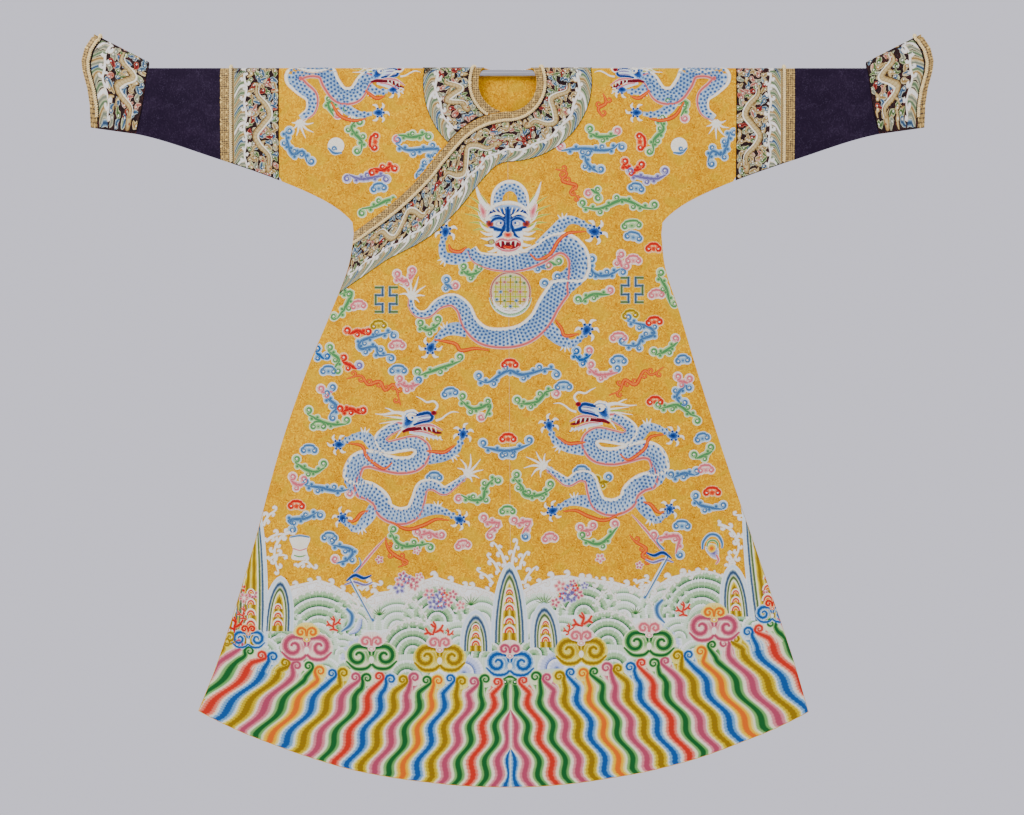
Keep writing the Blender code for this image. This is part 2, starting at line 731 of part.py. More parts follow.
def make_cuff(sign, wearer, side):
    pieces = (("cuff", None, EDGING_WIDTH + SEAM_GAP / 2, 5, "dark_embroidery"),
              ("cuff_edging", EDGING_WIDTH - SEAM_GAP / 2, 0.0, 1, "gold_brocade"))
    for name, start, end, columns, paint in pieces:
        wall(f"{name}_{wearer}_{side}", cuff_grid(sign, side, 0.0, start, end, columns),
             cuff_grid(sign, side, CLOTH, start, end, columns), paint)
    foot = cuff_grid(sign, side, CLOTH + LAYER_GAP, EDGING_WIDTH, EDGING_WIDTH, 1)
    centre = cuff_grid(sign, side, CLOTH + LAYER_GAP + CORD_RADIUS, EDGING_WIDTH, EDGING_WIDTH, 1)
    path = [row[0] for row in centre]
    outward = [[(c - f) / CORD_RADIUS for c, f in zip(row[0], low[0])] for row, low in zip(centre, foot)]
    cord(f"cuff_piping_{wearer}_{side}", path[:-1], outward[:-1])


def make_rod():
    body = bmesh.new()
    bmesh.ops.create_cone(body, cap_ends=True, segments=ROD_SIDES, radius1=ROD_RADIUS, radius2=ROD_RADIUS,
                          depth=ROD_LENGTH)
    rod = add_object("rod", body, "rod_metal")
    rod.rotation_euler = (0.0, math.pi / 2, 0.0)


for leftover in list(bpy.data.objects):
    bpy.data.objects.remove(leftover, do_unlink=True)
make_rod()
make_panels()
make_collar()
make_sleeves()
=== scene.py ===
import json
import math
import random

import bmesh
import bpy
import numpy as np
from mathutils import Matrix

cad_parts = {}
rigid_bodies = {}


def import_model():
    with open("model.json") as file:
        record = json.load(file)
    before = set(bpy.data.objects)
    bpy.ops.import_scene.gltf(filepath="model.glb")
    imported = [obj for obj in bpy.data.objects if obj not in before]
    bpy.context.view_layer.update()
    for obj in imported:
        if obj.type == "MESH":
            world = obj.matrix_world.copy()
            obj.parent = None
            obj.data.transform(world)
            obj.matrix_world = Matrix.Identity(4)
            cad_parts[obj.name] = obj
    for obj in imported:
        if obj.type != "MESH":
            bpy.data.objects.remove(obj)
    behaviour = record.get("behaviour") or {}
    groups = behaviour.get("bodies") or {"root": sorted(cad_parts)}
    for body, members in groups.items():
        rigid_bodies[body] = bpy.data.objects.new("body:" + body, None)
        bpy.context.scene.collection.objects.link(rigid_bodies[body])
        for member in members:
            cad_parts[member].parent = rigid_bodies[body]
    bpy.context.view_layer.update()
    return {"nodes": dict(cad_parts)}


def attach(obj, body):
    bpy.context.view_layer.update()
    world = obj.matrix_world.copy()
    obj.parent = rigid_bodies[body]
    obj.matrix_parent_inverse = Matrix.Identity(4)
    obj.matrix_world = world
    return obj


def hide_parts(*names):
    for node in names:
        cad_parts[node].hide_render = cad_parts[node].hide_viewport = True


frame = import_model()
print("frame loaded:", len(frame["nodes"]), "nodes")

# metres throughout; x to the wearer's left, and v the way down the cloth from the fold
# over the rod: above zero on the front, below zero on the back

foldRadius = 0.009   # of the cloth's inner face, over a rod 15 mm thick
quarter = 0.5 * math.pi * foldRadius   # cloth from the top of the fold to the rod's axis
clothThick = 0.002
underThick = 0.0015
trimThick = 0.001
layerGap = 0.0005
seamGap = 0.0003
halfGap = seamGap / 2
underlap = underThick + layerGap

neckRadius = 0.0595
neckDrop = 0.0205
neckDown = quarter + neckDrop
backDip = 0.014
bindingWidth = 0.0145
pipingOffset = 0.0178
facingStart = 0.0210
facingAtShoulder = 0.114
facingOnFlap = 0.103
facingAtSide = 0.086

sleeveSeam = 0.469
bandEnd = 0.568
brocadeEnd = 0.590
edgingWidth = 0.0145
underarmDrop = 0.312
underarmReach = 0.3147
cornerDrop = 1.310
hemLowest = 1.464
hemRadius = 1.367


# the robe's lines

def curveOf(rows, flatStart=False):
    # A smooth line through rows of (place, value) that never bulges past them, and straight beyond.
    places, values = np.array(rows, float).T
    steps = np.diff(values) / np.diff(places)
    slopes = [0.0 if flatStart else steps[0]]
    for before, after in zip(steps, steps[1:]):
        slopes.append(0.0 if before * after <= 0 else 2 * before * after / (before + after))
    slopes = np.array(slopes + [steps[-1]])

    def at(place):
        place = np.asarray(place, float)
        i = np.clip(np.searchsorted(places, place, side="right") - 1, 0, len(places) - 2)
        width = places[i + 1] - places[i]
        t = (place - places[i]) / width
        inside = (values[i] * (1 + 2 * t) * (1 - t) ** 2 + values[i + 1] * t * t * (3 - 2 * t)
                  + width * (slopes[i] * t * (1 - t) ** 2 - slopes[i + 1] * t * t * (1 - t)))
        before = values[0] + slopes[0] * (place - places[0])
        after = values[-1] + slopes[-1] * (place - places[-1])
        return np.where(t < 0, before, np.where(t > 1, after, inside))

    return at


sideReach = {
    -1: curveOf([(0.312, 0.3147), (0.330, 0.3160), (0.385, 0.3240), (0.489, 0.3620), (0.610, 0.4120),
                 (0.768, 0.4665), (0.996, 0.5290), (1.215, 0.5980), (1.310, 0.6355)]),
    1: curveOf([(0.312, 0.3147), (0.330, 0.3163), (0.385, 0.3215), (0.489, 0.3530), (0.610, 0.3895),
                (0.768, 0.4400), (0.996, 0.5175), (1.215, 0.5915), (1.310, 0.6190)]),
}
underDrop = curveOf([(0.3147, 0.3120), (0.3290, 0.2950), (0.3700, 0.2650), (0.4690, 0.2200),
                     (0.5930, 0.1765), (0.7640, 0.1245), (0.8570, 0.1115)])
flapDrop = curveOf([(0, 0.0800), (0.036, 0.0860), (0.065, 0.0970), (0.094, 0.1160), (0.145, 0.1710),
                    (0.172, 0.2060), (0.229, 0.2620), (0.292, 0.3100), (0.370, 0.3640)], True)
centrePlace = curveOf([(0.08, 0.0), (0.55, 0.003), (1.47, 0.009)])
bodyHollow = curveOf([(0.0, 0.0090), (0.15, 0.0105), (0.35, 0.0130), (0.80, 0.0170), (1.47, 0.0220)], True)


def lerp(a, b, t):
    return a + (b - a) * t


def smooth(t):
    t = np.clip(t, 0.0, 1.0)
    return t * t * (3 - 2 * t)


def hemDrop(x):
    return hemLowest - hemRadius + np.sqrt(hemRadius ** 2 - (x + 0.006) ** 2)


def solve(function, low, high):
    lowSign = function(low) > 0
    for _ in range(32):
        middle = 0.5 * (low + high)
        if (function(middle) > 0) == lowSign:
            low = middle
        else:
            high = middle
    return 0.5 * (low + high)


flapLowReach = solve(lambda reach: sideReach[-1](max(underarmDrop, flapDrop(reach))) - reach, 0.25, 0.36)
flapLowDrop = float(flapDrop(flapLowReach)) + 0.004


# how far the cloth stands off the middle plane

# the large soft folds: top (x, drop), bottom (x, drop), height, half width, runs to the hem
largeFolds = {
    "front": [
        (-0.200, 0.45, -0.330, 1.43, 0.0060, 0.050, True),
        (-0.110, 0.55, -0.165, 1.46, -0.0050, 0.045, True), (0.030, 0.66, 0.045, 1.47, 0.0035, 0.050, True),
        (0.130, 0.50, 0.215, 1.45, -0.0055, 0.048, True), (0.215, 0.46, 0.390, 1.42, 0.0055, 0.052, True),
        (-0.310, 0.66, -0.490, 1.38, -0.0045, 0.040, True),
        (0.320, 0.72, 0.490, 1.38, -0.0040, 0.040, True), (0.390, 0.15, 0.190, 0.44, -0.0030, 0.034, False),
        (-0.400, 0.13, -0.215, 0.40, -0.0026, 0.034, False),
    ],
    "back": [
        (-0.190, 0.42, -0.350, 1.42, -0.0050, 0.050, True),
        (-0.060, 0.52, -0.110, 1.46, 0.0055, 0.048, True), (0.080, 0.60, 0.130, 1.46, -0.0045, 0.045, True),
        (0.200, 0.48, 0.330, 1.43, 0.0060, 0.052, True), (0.300, 0.70, 0.480, 1.38, -0.0045, 0.042, True),
        (-0.400, 0.14, -0.190, 0.45, -0.0030, 0.034, False),
        (0.385, 0.16, 0.205, 0.42, -0.0028, 0.034, False),
    ],
}

# finer creases, given one by one, uneven, with more where the cloth is pulled to the underarm
creases = {
    "front": [
        (-0.322, 0.24, -0.300, 0.335, -0.0016, 0.010), (-0.345, 0.20, -0.318, 0.300, 0.0014, 0.012),
        (-0.430, 0.05, -0.345, 0.255, 0.0012, 0.016), (0.318, 0.22, 0.296, 0.345, -0.0014, 0.011),
        (0.440, 0.06, 0.350, 0.250, 0.0012, 0.017), (0.300, 0.30, 0.150, 0.520, -0.0013, 0.016),
        (0.310, 0.40, 0.230, 0.620, 0.0012, 0.015), (-0.315, 0.43, -0.225, 0.640, 0.0013, 0.015),
        (-0.370, 0.56, -0.330, 0.900, -0.0014, 0.016), (0.380, 0.62, 0.360, 0.960, -0.0012, 0.017),
        (0.006, 0.12, 0.010, 0.700, 0.0008, 0.012), (-0.040, 0.80, -0.075, 1.30, 0.0014, 0.020),
        (0.265, 0.90, 0.350, 1.36, -0.0014, 0.020), (-0.430, 0.95, -0.545, 1.33, 0.0014, 0.018),
        (0.450, 1.00, 0.565, 1.31, 0.0012, 0.018), (-0.702, 0.004, -0.700, 0.150, -0.0052, 0.0055),
        (-0.640, 0.012, -0.650, 0.150, 0.0012, 0.016), (0.662, 0.006, 0.652, 0.150, -0.0036, 0.0080),
        (0.615, 0.012, 0.628, 0.155, 0.0010, 0.016),
    ],
    "back": [
        (-0.318, 0.23, -0.290, 0.350, -0.0015, 0.011), (0.322, 0.22, 0.288, 0.350, -0.0015, 0.011),
        (-0.430, 0.06, -0.340, 0.250, 0.0013, 0.016), (0.425, 0.05, 0.350, 0.255, 0.0011, 0.017),
        (-0.300, 0.33, -0.120, 0.560, -0.0013, 0.016), (0.300, 0.34, 0.140, 0.540, -0.0012, 0.017),
        (0.020, 0.08, 0.012, 0.620, 0.0010, 0.016), (-0.365, 0.60, -0.340, 0.930, 0.0013, 0.016),
        (0.370, 0.58, 0.345, 0.950, -0.0012, 0.016), (-0.030, 0.90, -0.020, 1.38, 0.0014, 0.020),
        (-0.440, 0.98, -0.550, 1.33, 0.0013, 0.018), (0.445, 0.96, 0.560, 1.32, -0.0013, 0.018),
        (-0.690, 0.010, -0.680, 0.140, -0.0020, 0.009), (0.700, 0.010, 0.705, 0.135, -0.0022, 0.008),
    ],
}


def seamLine(side):
    reaches = np.arange(0.957, underarmReach, -0.015)
    drops = np.arange(underarmDrop, cornerDrop + 0.15, 0.015)
    return ([(side * r, d) for r, d in zip(reaches, underDrop(reaches))]
            + [(side * r, d) for r, d in zip(sideReach[side](drops), drops)])


def distanceToSeam(x, drop):
    nearest = np.ones_like(x)
    for side in (-1, 1):
        mine = x > 0 if side > 0 else x <= 0
        px, pd, best = x[mine], drop[mine], nearest[mine]
        line = seamLine(side)
        for (ax, ad), (bx, bd) in zip(line, line[1:]):
            dx, dd = bx - ax, bd - ad
            t = np.clip(((px - ax) * dx + (pd - ad) * dd) / (dx * dx + dd * dd), 0, 1)
            best = np.minimum(best, np.hypot(px - ax - t * dx, pd - ad - t * dd))
        nearest[mine] = best
    return nearest


def foldHeights(side, x, drop):
    total = np.zeros_like(x)
    folds = largeFolds[side] + [(*crease, False) for crease in creases[side]]
    for xHigh, dropHigh, xLow, dropLow, height, halfWidth, toHem in folds:
        dx, dd = xLow - xHigh, dropLow - dropHigh
        t = ((x - xHigh) * dx + (drop - dropHigh) * dd) / (dx * dx + dd * dd)
        across = ((x - xHigh) * dd - (drop - dropHigh) * dx) / math.hypot(dx, dd)
        along = smooth(t / 0.7) if toHem else smooth(t / 0.4) * smooth((1 - t) / 0.4)
        total += height * along * np.exp(-(across / halfWidth) ** 2)
    return total


gridStep = 0.004
gridX = np.arange(-0.90, 0.9001, gridStep)
gridDrop = np.arange(-0.004, 1.54, gridStep)
meshX, meshDrop = np.meshgrid(gridX, gridDrop, indexing="ij")
nearSeam = np.minimum(1.0, distanceToSeam(meshX, meshDrop) / 0.120)
nearSeam = nearSeam * (2 - nearSeam)


def depthGrid(side):
    away = smooth((np.abs(meshX) - 0.26) / 0.20)
    depth = bodyHollow(meshDrop)
    depth = lerp(depth, np.minimum(depth, 0.0105), away) + foldHeights(side, meshX, meshDrop)
    return halfGap + (depth - halfGap) * nearSeam


depthGrids = {"front": depthGrid("front"), "back": depthGrid("back")}


def depthAt(side, x, drop):
    fx = np.clip((x - gridX[0]) / gridStep, 0, len(gridX) - 1.001)
    fd = np.clip((drop - gridDrop[0]) / gridStep, 0, len(gridDrop) - 1.001)
    i, j = fx.astype(int), fd.astype(int)
    s, t = fx - i, fd - j
    grid = depthGrids[side]
    return ((grid[i, j] * (1 - s) + grid[i + 1, j] * s) * (1 - t)
            + (grid[i, j + 1] * (1 - s) + grid[i + 1, j + 1] * s) * t)


def clothPoints(x, v, out):
    # Places in space for places on the flat cloth, out above its inner face.
    x, v, out = (np.asarray(part, float) for part in np.broadcast_arrays(x, v, out))
    down = np.abs(v)
    turn = 0.5 * math.pi - np.minimum(down, quarter) / foldRadius
    drop = np.maximum(down - quarter, 0.0)
    depth = np.where(v >= 0, depthAt("front", x, drop), depthAt("back", x, drop))
    below = down >= quarter
    y = np.where(below, depth + out, (foldRadius + out) * np.cos(turn))
    z = np.where(below, -drop, (foldRadius + out) * np.sin(turn))
    return np.stack([x, np.where(v >= 0, -y, y), z], -1)


def outerLift(x, v):
    # The left front is raised to the flap's level where they join, and sinks towards the side.
    joined = 1 - smooth((x - 0.07) / 0.15)
    return np.where(np.asarray(v) > 0, underlap * joined * smooth((v - quarter) / 0.06), 0.0)


def evenly(value):
    # The same height or thickness all over.
    return lambda x, v: np.full(np.broadcast(x, v).shape, value)


noLift, plainThick = evenly(0.0), evenly(clothThick)


def rightThick(x, v):
    return lerp(clothThick, underThick, smooth((v + 0.004) / 0.02)) + 0.0 * x


print("cloth form ready")


# camera, floor and light

def addObject(name, data):
    made = bpy.data.objects.new(name, data)
    bpy.context.collection.objects.link(made)
    return made


view = {"lens": 85.0, "x": 0.0092, "z": -0.687, "distance": 4.957, "front": -0.015}
cameraData = bpy.data.cameras.new("camera")
cameraData.lens = view["lens"]
cameraData.sensor_width = 36.0
cameraData.clip_end = 60.0
camera = addObject("camera", cameraData)
camera.location = (view["x"], view["front"] - view["distance"], view["z"])
camera.rotation_euler = (math.radians(90), 0.0, 0.0)
bpy.context.scene.camera = camera

studio = {
    "backdrop": (0.835, 0.815, 0.940),
    "worldStrength": 1.0,
    "lights": [
        ("keyLight", (-2.8, -3.4, 2.2), 2.4, 190.0),
        ("fillLight", (3.2, -3.4, 0.4), 3.4, 58.0),
        ("backLight", (1.5, 3.6, 2.2), 3.0, 110.0),
    ],
    "floorHeight": -1.90,
    "floorRadius": 1.45,
}


def addLight(name, place, size, power):
    data = bpy.data.lights.new(name, "AREA")
    data.shape = "DISK"
    data.size = size
    data.energy = power
    light = addObject(name, data)
    light.location = place
    aim = np.array([0.0, 0.0, -0.7]) - np.array(place)
    flat = math.hypot(aim[0], aim[1])
    light.rotation_euler = (math.atan2(flat, -aim[2]), 0.0, math.atan2(-aim[0], aim[1]))


for lightWords in studio["lights"]:
    addLight(*lightWords)

world = bpy.data.worlds.new("studioWorld")
bpy.context.scene.world = world
world.use_nodes = True
background = world.node_tree.nodes["Background"]
background.inputs["Color"].default_value = (*studio["backdrop"], 1.0)
background.inputs["Strength"].default_value = studio["worldStrength"]


# materials

class Sock:
    # An outlet of a node, to be reckoned with like a number.

    def __init__(self, tree, output):
        self.tree = tree
        self.output = output

    def node(self, kind, outlet=0, settings=None, **wired):
        # Adds a node; i0, i1 and so on feed its sockets by number, and other words by name.
        made = self.tree.nodes.new(kind)
        for name, value in (settings or {}).items():
            if name == "stops":
                setStops(made.color_ramp, value)
            else:
                setattr(made, name, value)
        for name, value in wired.items():
            socket = made.inputs[int(name[1:]) if name[1:].isdigit() else name.replace("_", " ")]
            if isinstance(value, Sock):
                self.tree.links.new(value.output, socket)
            else:
                socket.default_value = value
        return Sock(self.tree, made.outputs[outlet])

    def maths(self, operation, *others):
        wired = {f"i{k}": value for k, value in enumerate((self,) + others)}
        return self.node("ShaderNodeMath", 0, {"operation": operation}, **wired)

    def flipped(self, operation, other):
        return self.node("ShaderNodeMath", 0, {"operation": operation}, i0=other, i1=self)

    def __add__(self, other):
        return self.maths("ADD", other)

    __radd__ = __add__

    def __mul__(self, other):
        return self.maths("MULTIPLY", other)

    __rmul__ = __mul__

    def __sub__(self, other):
        return self.maths("SUBTRACT", other)

    def __rsub__(self, other):
        return self.flipped("SUBTRACT", other)

    def __truediv__(self, other):
        return self.maths("DIVIDE", other)

    def waves(self, count):
        # Sine waves, so many to the tile.
        return (self * (2 * math.pi * count)).maths("SINE")

    def ramp(self, low, high):
        # None below low, all above high, and smooth between.
        return self.node("ShaderNodeMapRange", 0, {"interpolation_type": "SMOOTHSTEP"},
                         i0=self, i1=low, i2=high, i3=0.0, i4=1.0)


def setStops(ramp, stops):
    kind, places = stops
    ramp.interpolation = kind
    while len(ramp.elements) > 1:
        ramp.elements.remove(ramp.elements[-1])
    ramp.elements[0].position = places[0][0]
    ramp.elements[0].color = places[0][1]
    for place, colour in places[1:]:
        ramp.elements.new(place).color = colour


def linear(colour):
    # A screen colour, 0 to 255, as the light that a shader reckons with.
    shares = [c / 255 for c in colour]
    return tuple(c / 12.92 if c <= 0.04045 else ((c + 0.055) / 1.055) ** 2.4 for c in shares) + (1.0,)


def newMaterial(name, roughness, sheen=0.0, sheenTint=(1, 1, 1), metallic=0.0):
    made = bpy.data.materials.new(name)
    made.use_nodes = True
    tree = made.node_tree
    shader = tree.nodes["Principled BSDF"]
    shader.inputs["Roughness"].default_value = roughness
    shader.inputs["Metallic"].default_value = metallic
    shader.inputs["Specular IOR Level"].default_value = 0.5 if metallic else 0.03
    shader.inputs["Sheen Weight"].default_value = sheen
    shader.inputs["Sheen Roughness"].default_value = 0.4
    shader.inputs["Sheen Tint"].default_value = (*sheenTint, 1.0)
    return made, tree, shader


def wireUp(tree, shader, colour, bump, bumpHeight, bumpStrength, roughness=None):
    tree.links.new(colour.output, shader.inputs["Base Color"])
    if roughness is not None:
        tree.links.new(roughness.output, shader.inputs["Roughness"])
    bumped = bump.node("ShaderNodeBump", 0, None, Strength=bumpStrength, Distance=bumpHeight, Height=bump)
    tree.links.new(bumped.output, shader.inputs["Normal"])


def mixColours(share, a, b):
    return share.node("ShaderNodeMix", 2, {"data_type": "RGBA"}, i0=share, i6=a, i7=b)


def mapSockets(tree):
    # The two directions of a piece's own map.
    mapNode = tree.nodes.new("ShaderNodeUVMap")
    mapNode.uv_map = "OFBake"
    place = Sock(tree, mapNode.outputs[0])
    split = place.node("ShaderNodeSeparateXYZ", 0, None, i0=place)
    return split, Sock(tree, split.output.node.outputs[1])


def tileSockets(tree):
    return [way.maths("FRACT") for way in mapSockets(tree)]


def objectPlace(tree):
    return Sock(tree, tree.nodes.new("ShaderNodeTexCoord").outputs["Object"])


clothTile = 0.16   # the weave's repeat
brocadeTile = 0.045


def cellNoise(u, v, columns, rows, seed):
    # A random number for each cell of a tile that repeats.
    cellU = (u * columns).maths("FLOOR")
    cellV = (v * rows).maths("FLOOR")
    place = cellU.node("ShaderNodeCombineXYZ", 0, None, i0=cellU, i1=cellV, i2=float(seed))
    return place.node("ShaderNodeTexWhiteNoise", 0, {"noise_dimensions": "3D"}, i0=place)


def silkMaterial(name, ground, light, dark, fleck, roughness, sheen, damask=0.5, grain=1.0, patches=0.0):
    # Woven silk: fine floats both ways, a damask of small swirls and scattered flecks.
    made, tree, shader = newMaterial(name, roughness, sheen, tuple(linear(light)[:3]))
    u, v = tileSockets(tree)
    turn = 2 * math.pi
    fine = cellNoise(u, v, 72, 48, 1)
    finer = cellNoise(u, v, 150, 96, 2)
    wide = cellNoise(u, v, 18, 14, 3)
    swirl = u.waves(7) + (v * (turn * 7)).maths("COSINE")
    swirl = swirl + (u * (turn * 12) + v * (turn * 5)).maths("SINE") * 0.7
    swirl = swirl + (u * (turn * 4) - v * (turn * 13)).maths("SINE") * 0.7
    figure = (swirl * 2.4).maths("SINE").ramp(-0.35, 0.45)
    drift = (u * turn + v.waves(2)).maths("SINE") + (v * (turn * 3) + u.waves(2) * 1.3).maths("SINE")
    drift = drift * 0.25 + 0.5
    tone = figure * damask + fine * (0.42 * grain) + finer * (0.30 * grain) + drift * 0.25
    tone = tone.ramp(0.15, 0.15 + damask + 0.72 * grain)
    colour = mixColours(tone, linear(dark), linear(ground))
    colour = mixColours((fine * tone).ramp(0.55, 0.95), colour, linear(light))
    colour = mixColours((wide * 0.25 + finer).ramp(1.02, 1.14), colour, linear(fleck))
    patch = (u + drift * 0.3).waves(2) + (v * (turn * 3) + drift * 5).maths("SINE")
    colour = mixColours(patch.ramp(0.2, 1.8) * patches, colour, linear((204, 164, 10)))   # worn paler
    thread = u.waves(110) * 0.5 + v.waves(90) * 0.5
    height = thread * 0.35 + figure * 0.45 + fine * 0.25
    wireUp(tree, shader, colour, height, 0.00035, 0.55, (1 - tone) * 0.16 + (roughness - 0.05))
    return made


def brocadeMaterial(name):
    made, tree, shader = newMaterial(name, 0.45, 0.15, metallic=0.15)
    u, v = tileSockets(tree)
    cells = cellNoise(u, v, 18, 18, 5)
    broad = cellNoise(u, v, 9, 9, 6)
    fret = (u.waves(5) * v.waves(5)).maths("ABSOLUTE").ramp(0.15, 0.45)
    colour = mixColours((fret * 0.55 + cells * 0.6).ramp(0.25, 0.85), linear((66, 46, 18)),
                        linear((190, 154, 80)))
    colour = mixColours((broad * 0.6 + cells * 0.5).ramp(0.80, 0.95), colour, linear((230, 196, 112)))
    wireUp(tree, shader, colour, fret * 0.6 + cells * 0.5, 0.0004, 0.7)
    return made


def cordMaterial(name):
    made, tree, shader = newMaterial(name, 0.45, 0.3)
    place = objectPlace(tree)
    speck = place.node("ShaderNodeTexNoise", 0, None, Vector=place, Scale=420.0, Detail=2.0)
    colour = mixColours(speck.ramp(0.3, 0.7), linear((236, 200, 124)), linear((255, 240, 186)))
    wireUp(tree, shader, colour, speck, 0.0003, 0.5)
    return made


def rodMaterial(name):
    made, tree, shader = newMaterial(name, 0.28, metallic=1.0)
    place = objectPlace(tree)
    mapped = place.node("ShaderNodeMapping", 0, None, Vector=place, Scale=(4.0, 900.0, 900.0))
    streak = mapped.node("ShaderNodeTexNoise", 0, None, Vector=mapped, Scale=1.0, Detail=3.0)
    colour = mixColours(streak, linear((150, 150, 154)), linear((214, 214, 218)))
    wireUp(tree, shader, colour, streak, 0.0001, 0.3, streak * 0.15 + 0.2)
    return made


yellowSilk = silkMaterial("yellowSilk", (236, 178, 0), (252, 198, 2), (204, 138, 0), (158, 92, 0), 0.6, 0.0,
                          patches=0.5)
navySilk = silkMaterial("navySilk", (39, 28, 47), (48, 37, 56), (31, 21, 39), (53, 43, 62), 0.45, 0.04, 0.10,
                        0.3)
blackSilk = silkMaterial("blackSilk", (48, 32, 32), (64, 46, 42), (32, 22, 24), (92, 40, 38), 0.5, 0.04, 0.1,
                         0.5)
goldBrocade = brocadeMaterial("goldBrocade")
pipingCord = cordMaterial("pipingCord")
rodMetal = rodMaterial("rodMetal")

floorMaterial, _, floorShader = newMaterial("floorPaint", 0.6)
floorShader.inputs["Base Color"].default_value = (0.62, 0.62, 0.66, 1.0)
print("materials ready")


# turning grids of places into closed cloth

def objectFrom(name, points, faces, material, uvs):
    mesh = bpy.data.meshes.new(name)
    mesh.from_pydata(points, [], faces)
    layer = mesh.uv_layers.new(name="OFBake")
    layer.data.foreach_set("uv", np.asarray(uvs, np.float32).ravel())
    mesh.materials.append(material)
    mesh.shade_smooth()
    return addObject(name, mesh)


def closedWall(name, inside, outside, material, uv):
    # Two grids of points joined round their rim; uv gives each grid place on the tiled weave.
    tile = brocadeTile if material is goldBrocade else clothTile
    rows, columns = inside.shape[:2]
    count = rows * columns
    points = np.concatenate([inside.reshape(-1, 3), outside.reshape(-1, 3)])
    index = np.arange(count).reshape(rows, columns)
    a, b, c, d = index[:-1, :-1], index[:-1, 1:], index[1:, 1:], index[1:, :-1]
    under = np.stack([a, d, c, b], -1).reshape(-1, 4)
    over = np.stack([a, b, c, d], -1).reshape(-1, 4) + count
    rim = np.concatenate([index[0, :], index[1:, -1], index[-1, -2::-1], index[-2:0:-1, 0]])
    after = np.roll(rim, -1)
    edge = np.stack([rim, after, after + count, rim + count], -1)
    faces = np.concatenate([under, over, edge])
    flat = np.concatenate([uv.reshape(-1, 2), uv.reshape(-1, 2)]) / tile
    made = objectFrom(name, points.tolist(), faces.tolist(), material, flat[faces.ravel()])
    shape = bmesh.new()
    shape.from_mesh(made.data)
    bmesh.ops.recalc_face_normals(shape, faces=shape.faces)
    shape.to_mesh(made.data)
    shape.free()
    made.data.set_sharp_from_angle(angle=math.radians(50))
    return made


def clothShell(name, x, v, lift, thickness, material, shift):
    # A closed wall of cloth over flat places.
    low = lift(x, v)
    thick = thickness(x, v)
    uv = np.stack([x - shift[0], v - shift[1]], -1)
    return closedWall(name, clothPoints(x, v, low), clothPoints(x, v, low + thick), material, uv)


def finishPiece(piece, nodes=()):
    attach(piece, "root")
    if nodes:
        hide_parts(*nodes)
    return piece


def meshArea(piece):
    return sum(p.area for p in piece.data.polygons)


# the body

bodyGrid = {"columns": 76, "skirtRows": 134, "step": 0.0085}
shares = np.linspace(0.0, 1.0, bodyGrid["columns"] + 1)


def upperReach(drop):
    # Reach of a panel's outer edge above the underarm.
    if drop <= float(underDrop(sleeveSeam)):
        return sleeveSeam
    return solve(lambda reach: float(underDrop(reach)) - drop, underarmReach, sleeveSeam)


def neckReach(drop):
    inside = neckRadius ** 2 - (drop - neckDrop) ** 2
    return math.sqrt(inside) if inside > 0 else 0.0


def frontInner(side, drop):
    if drop < neckDrop + neckRadius:
        return side * max(neckReach(drop), halfGap)
    return side * halfGap + float(centrePlace(drop))


def backInner(side, drop):
    down = quarter + drop
    half = neckReach(-quarter)
    if down < backDip:
        return side * max(halfGap, half * math.sqrt(max(0.0, 1 - down / backDip)))
    return side * halfGap + float(centrePlace(max(drop, 0.08)))


def skirtPlaces(side, inner, part):
    corner = float(sideReach[side](cornerDrop))
    edge = side * float(sideReach[side](lerp(flapLowDrop, cornerDrop, part)))
    atHem = lerp(inner(hemLowest), side * corner, shares)
    drop = lerp(flapLowDrop + 0.02 * (1 - shares), hemDrop(atHem), part)
    start = np.array([inner(d) for d in drop])
    return lerp(start, edge, shares), quarter + drop


def bodyPlaces(side, inner, neckDowns, lowest=1.0):
    # Rows of one side of the body, from the fold to the hem.
    rows = []
    upper = list(neckDowns) + list(np.arange(quarter + neckDrop + neckRadius + 0.006, quarter + 0.310,
                                             bodyGrid["step"]))
    for down in upper:
        drop = down - quarter
        start = inner(drop)
        end = side * (sleeveSeam if drop < 0.2 else upperReach(drop))
        rows.append((lerp(start, end, shares), np.full_like(shares, down)))
    for k in range(bodyGrid["skirtRows"] + 1):
        rows.append(skirtPlaces(side, inner, lowest * k / bodyGrid["skirtRows"]))
    return np.array([r[0] for r in rows]), np.array([r[1] for r in rows])


foldDowns = [quarter * k / 5 for k in range(6)]
frontNeckDowns = foldDowns + [neckDown + neckRadius * math.sin(math.radians(turn))
                              for turn in (-12, 0, 12, 24, 34, 44, 53, 61, 68, 74, 79, 83, 86.5, 89, 90)]
backNeckDowns = [*foldDowns[:5], 0.0132, 0.01385, 0.014, 0.0155, 0.020, 0.030, *np.arange(0.04, 0.09, 0.01)]


def bodyHalf(side, lowestFront):
    frontX, frontV = bodyPlaces(side, lambda drop: frontInner(side, drop), frontNeckDowns, lowestFront)
    backX, backV = bodyPlaces(side, lambda drop: backInner(side, drop), backNeckDowns)
    return np.concatenate([backX[:0:-1], frontX]), np.concatenate([-backV[:0:-1], frontV])


def flapPlaces():
    level = skirtPlaces(-1, lambda drop: frontInner(-1, drop), 0.0)
    rows = []
    reaches = lerp(halfGap, flapLowReach, shares)
    for k in range(24):
        part = k / 24
        rows.append((lerp(-reaches, level[0], part), lerp(quarter + flapDrop(reaches), level[1], part)))
    for k in range(bodyGrid["skirtRows"] + 1):
        rows.append(skirtPlaces(-1, lambda drop: frontInner(-1, drop), k / bodyGrid["skirtRows"]))
    return np.array([r[0] for r in rows]), np.array([r[1] for r in rows])


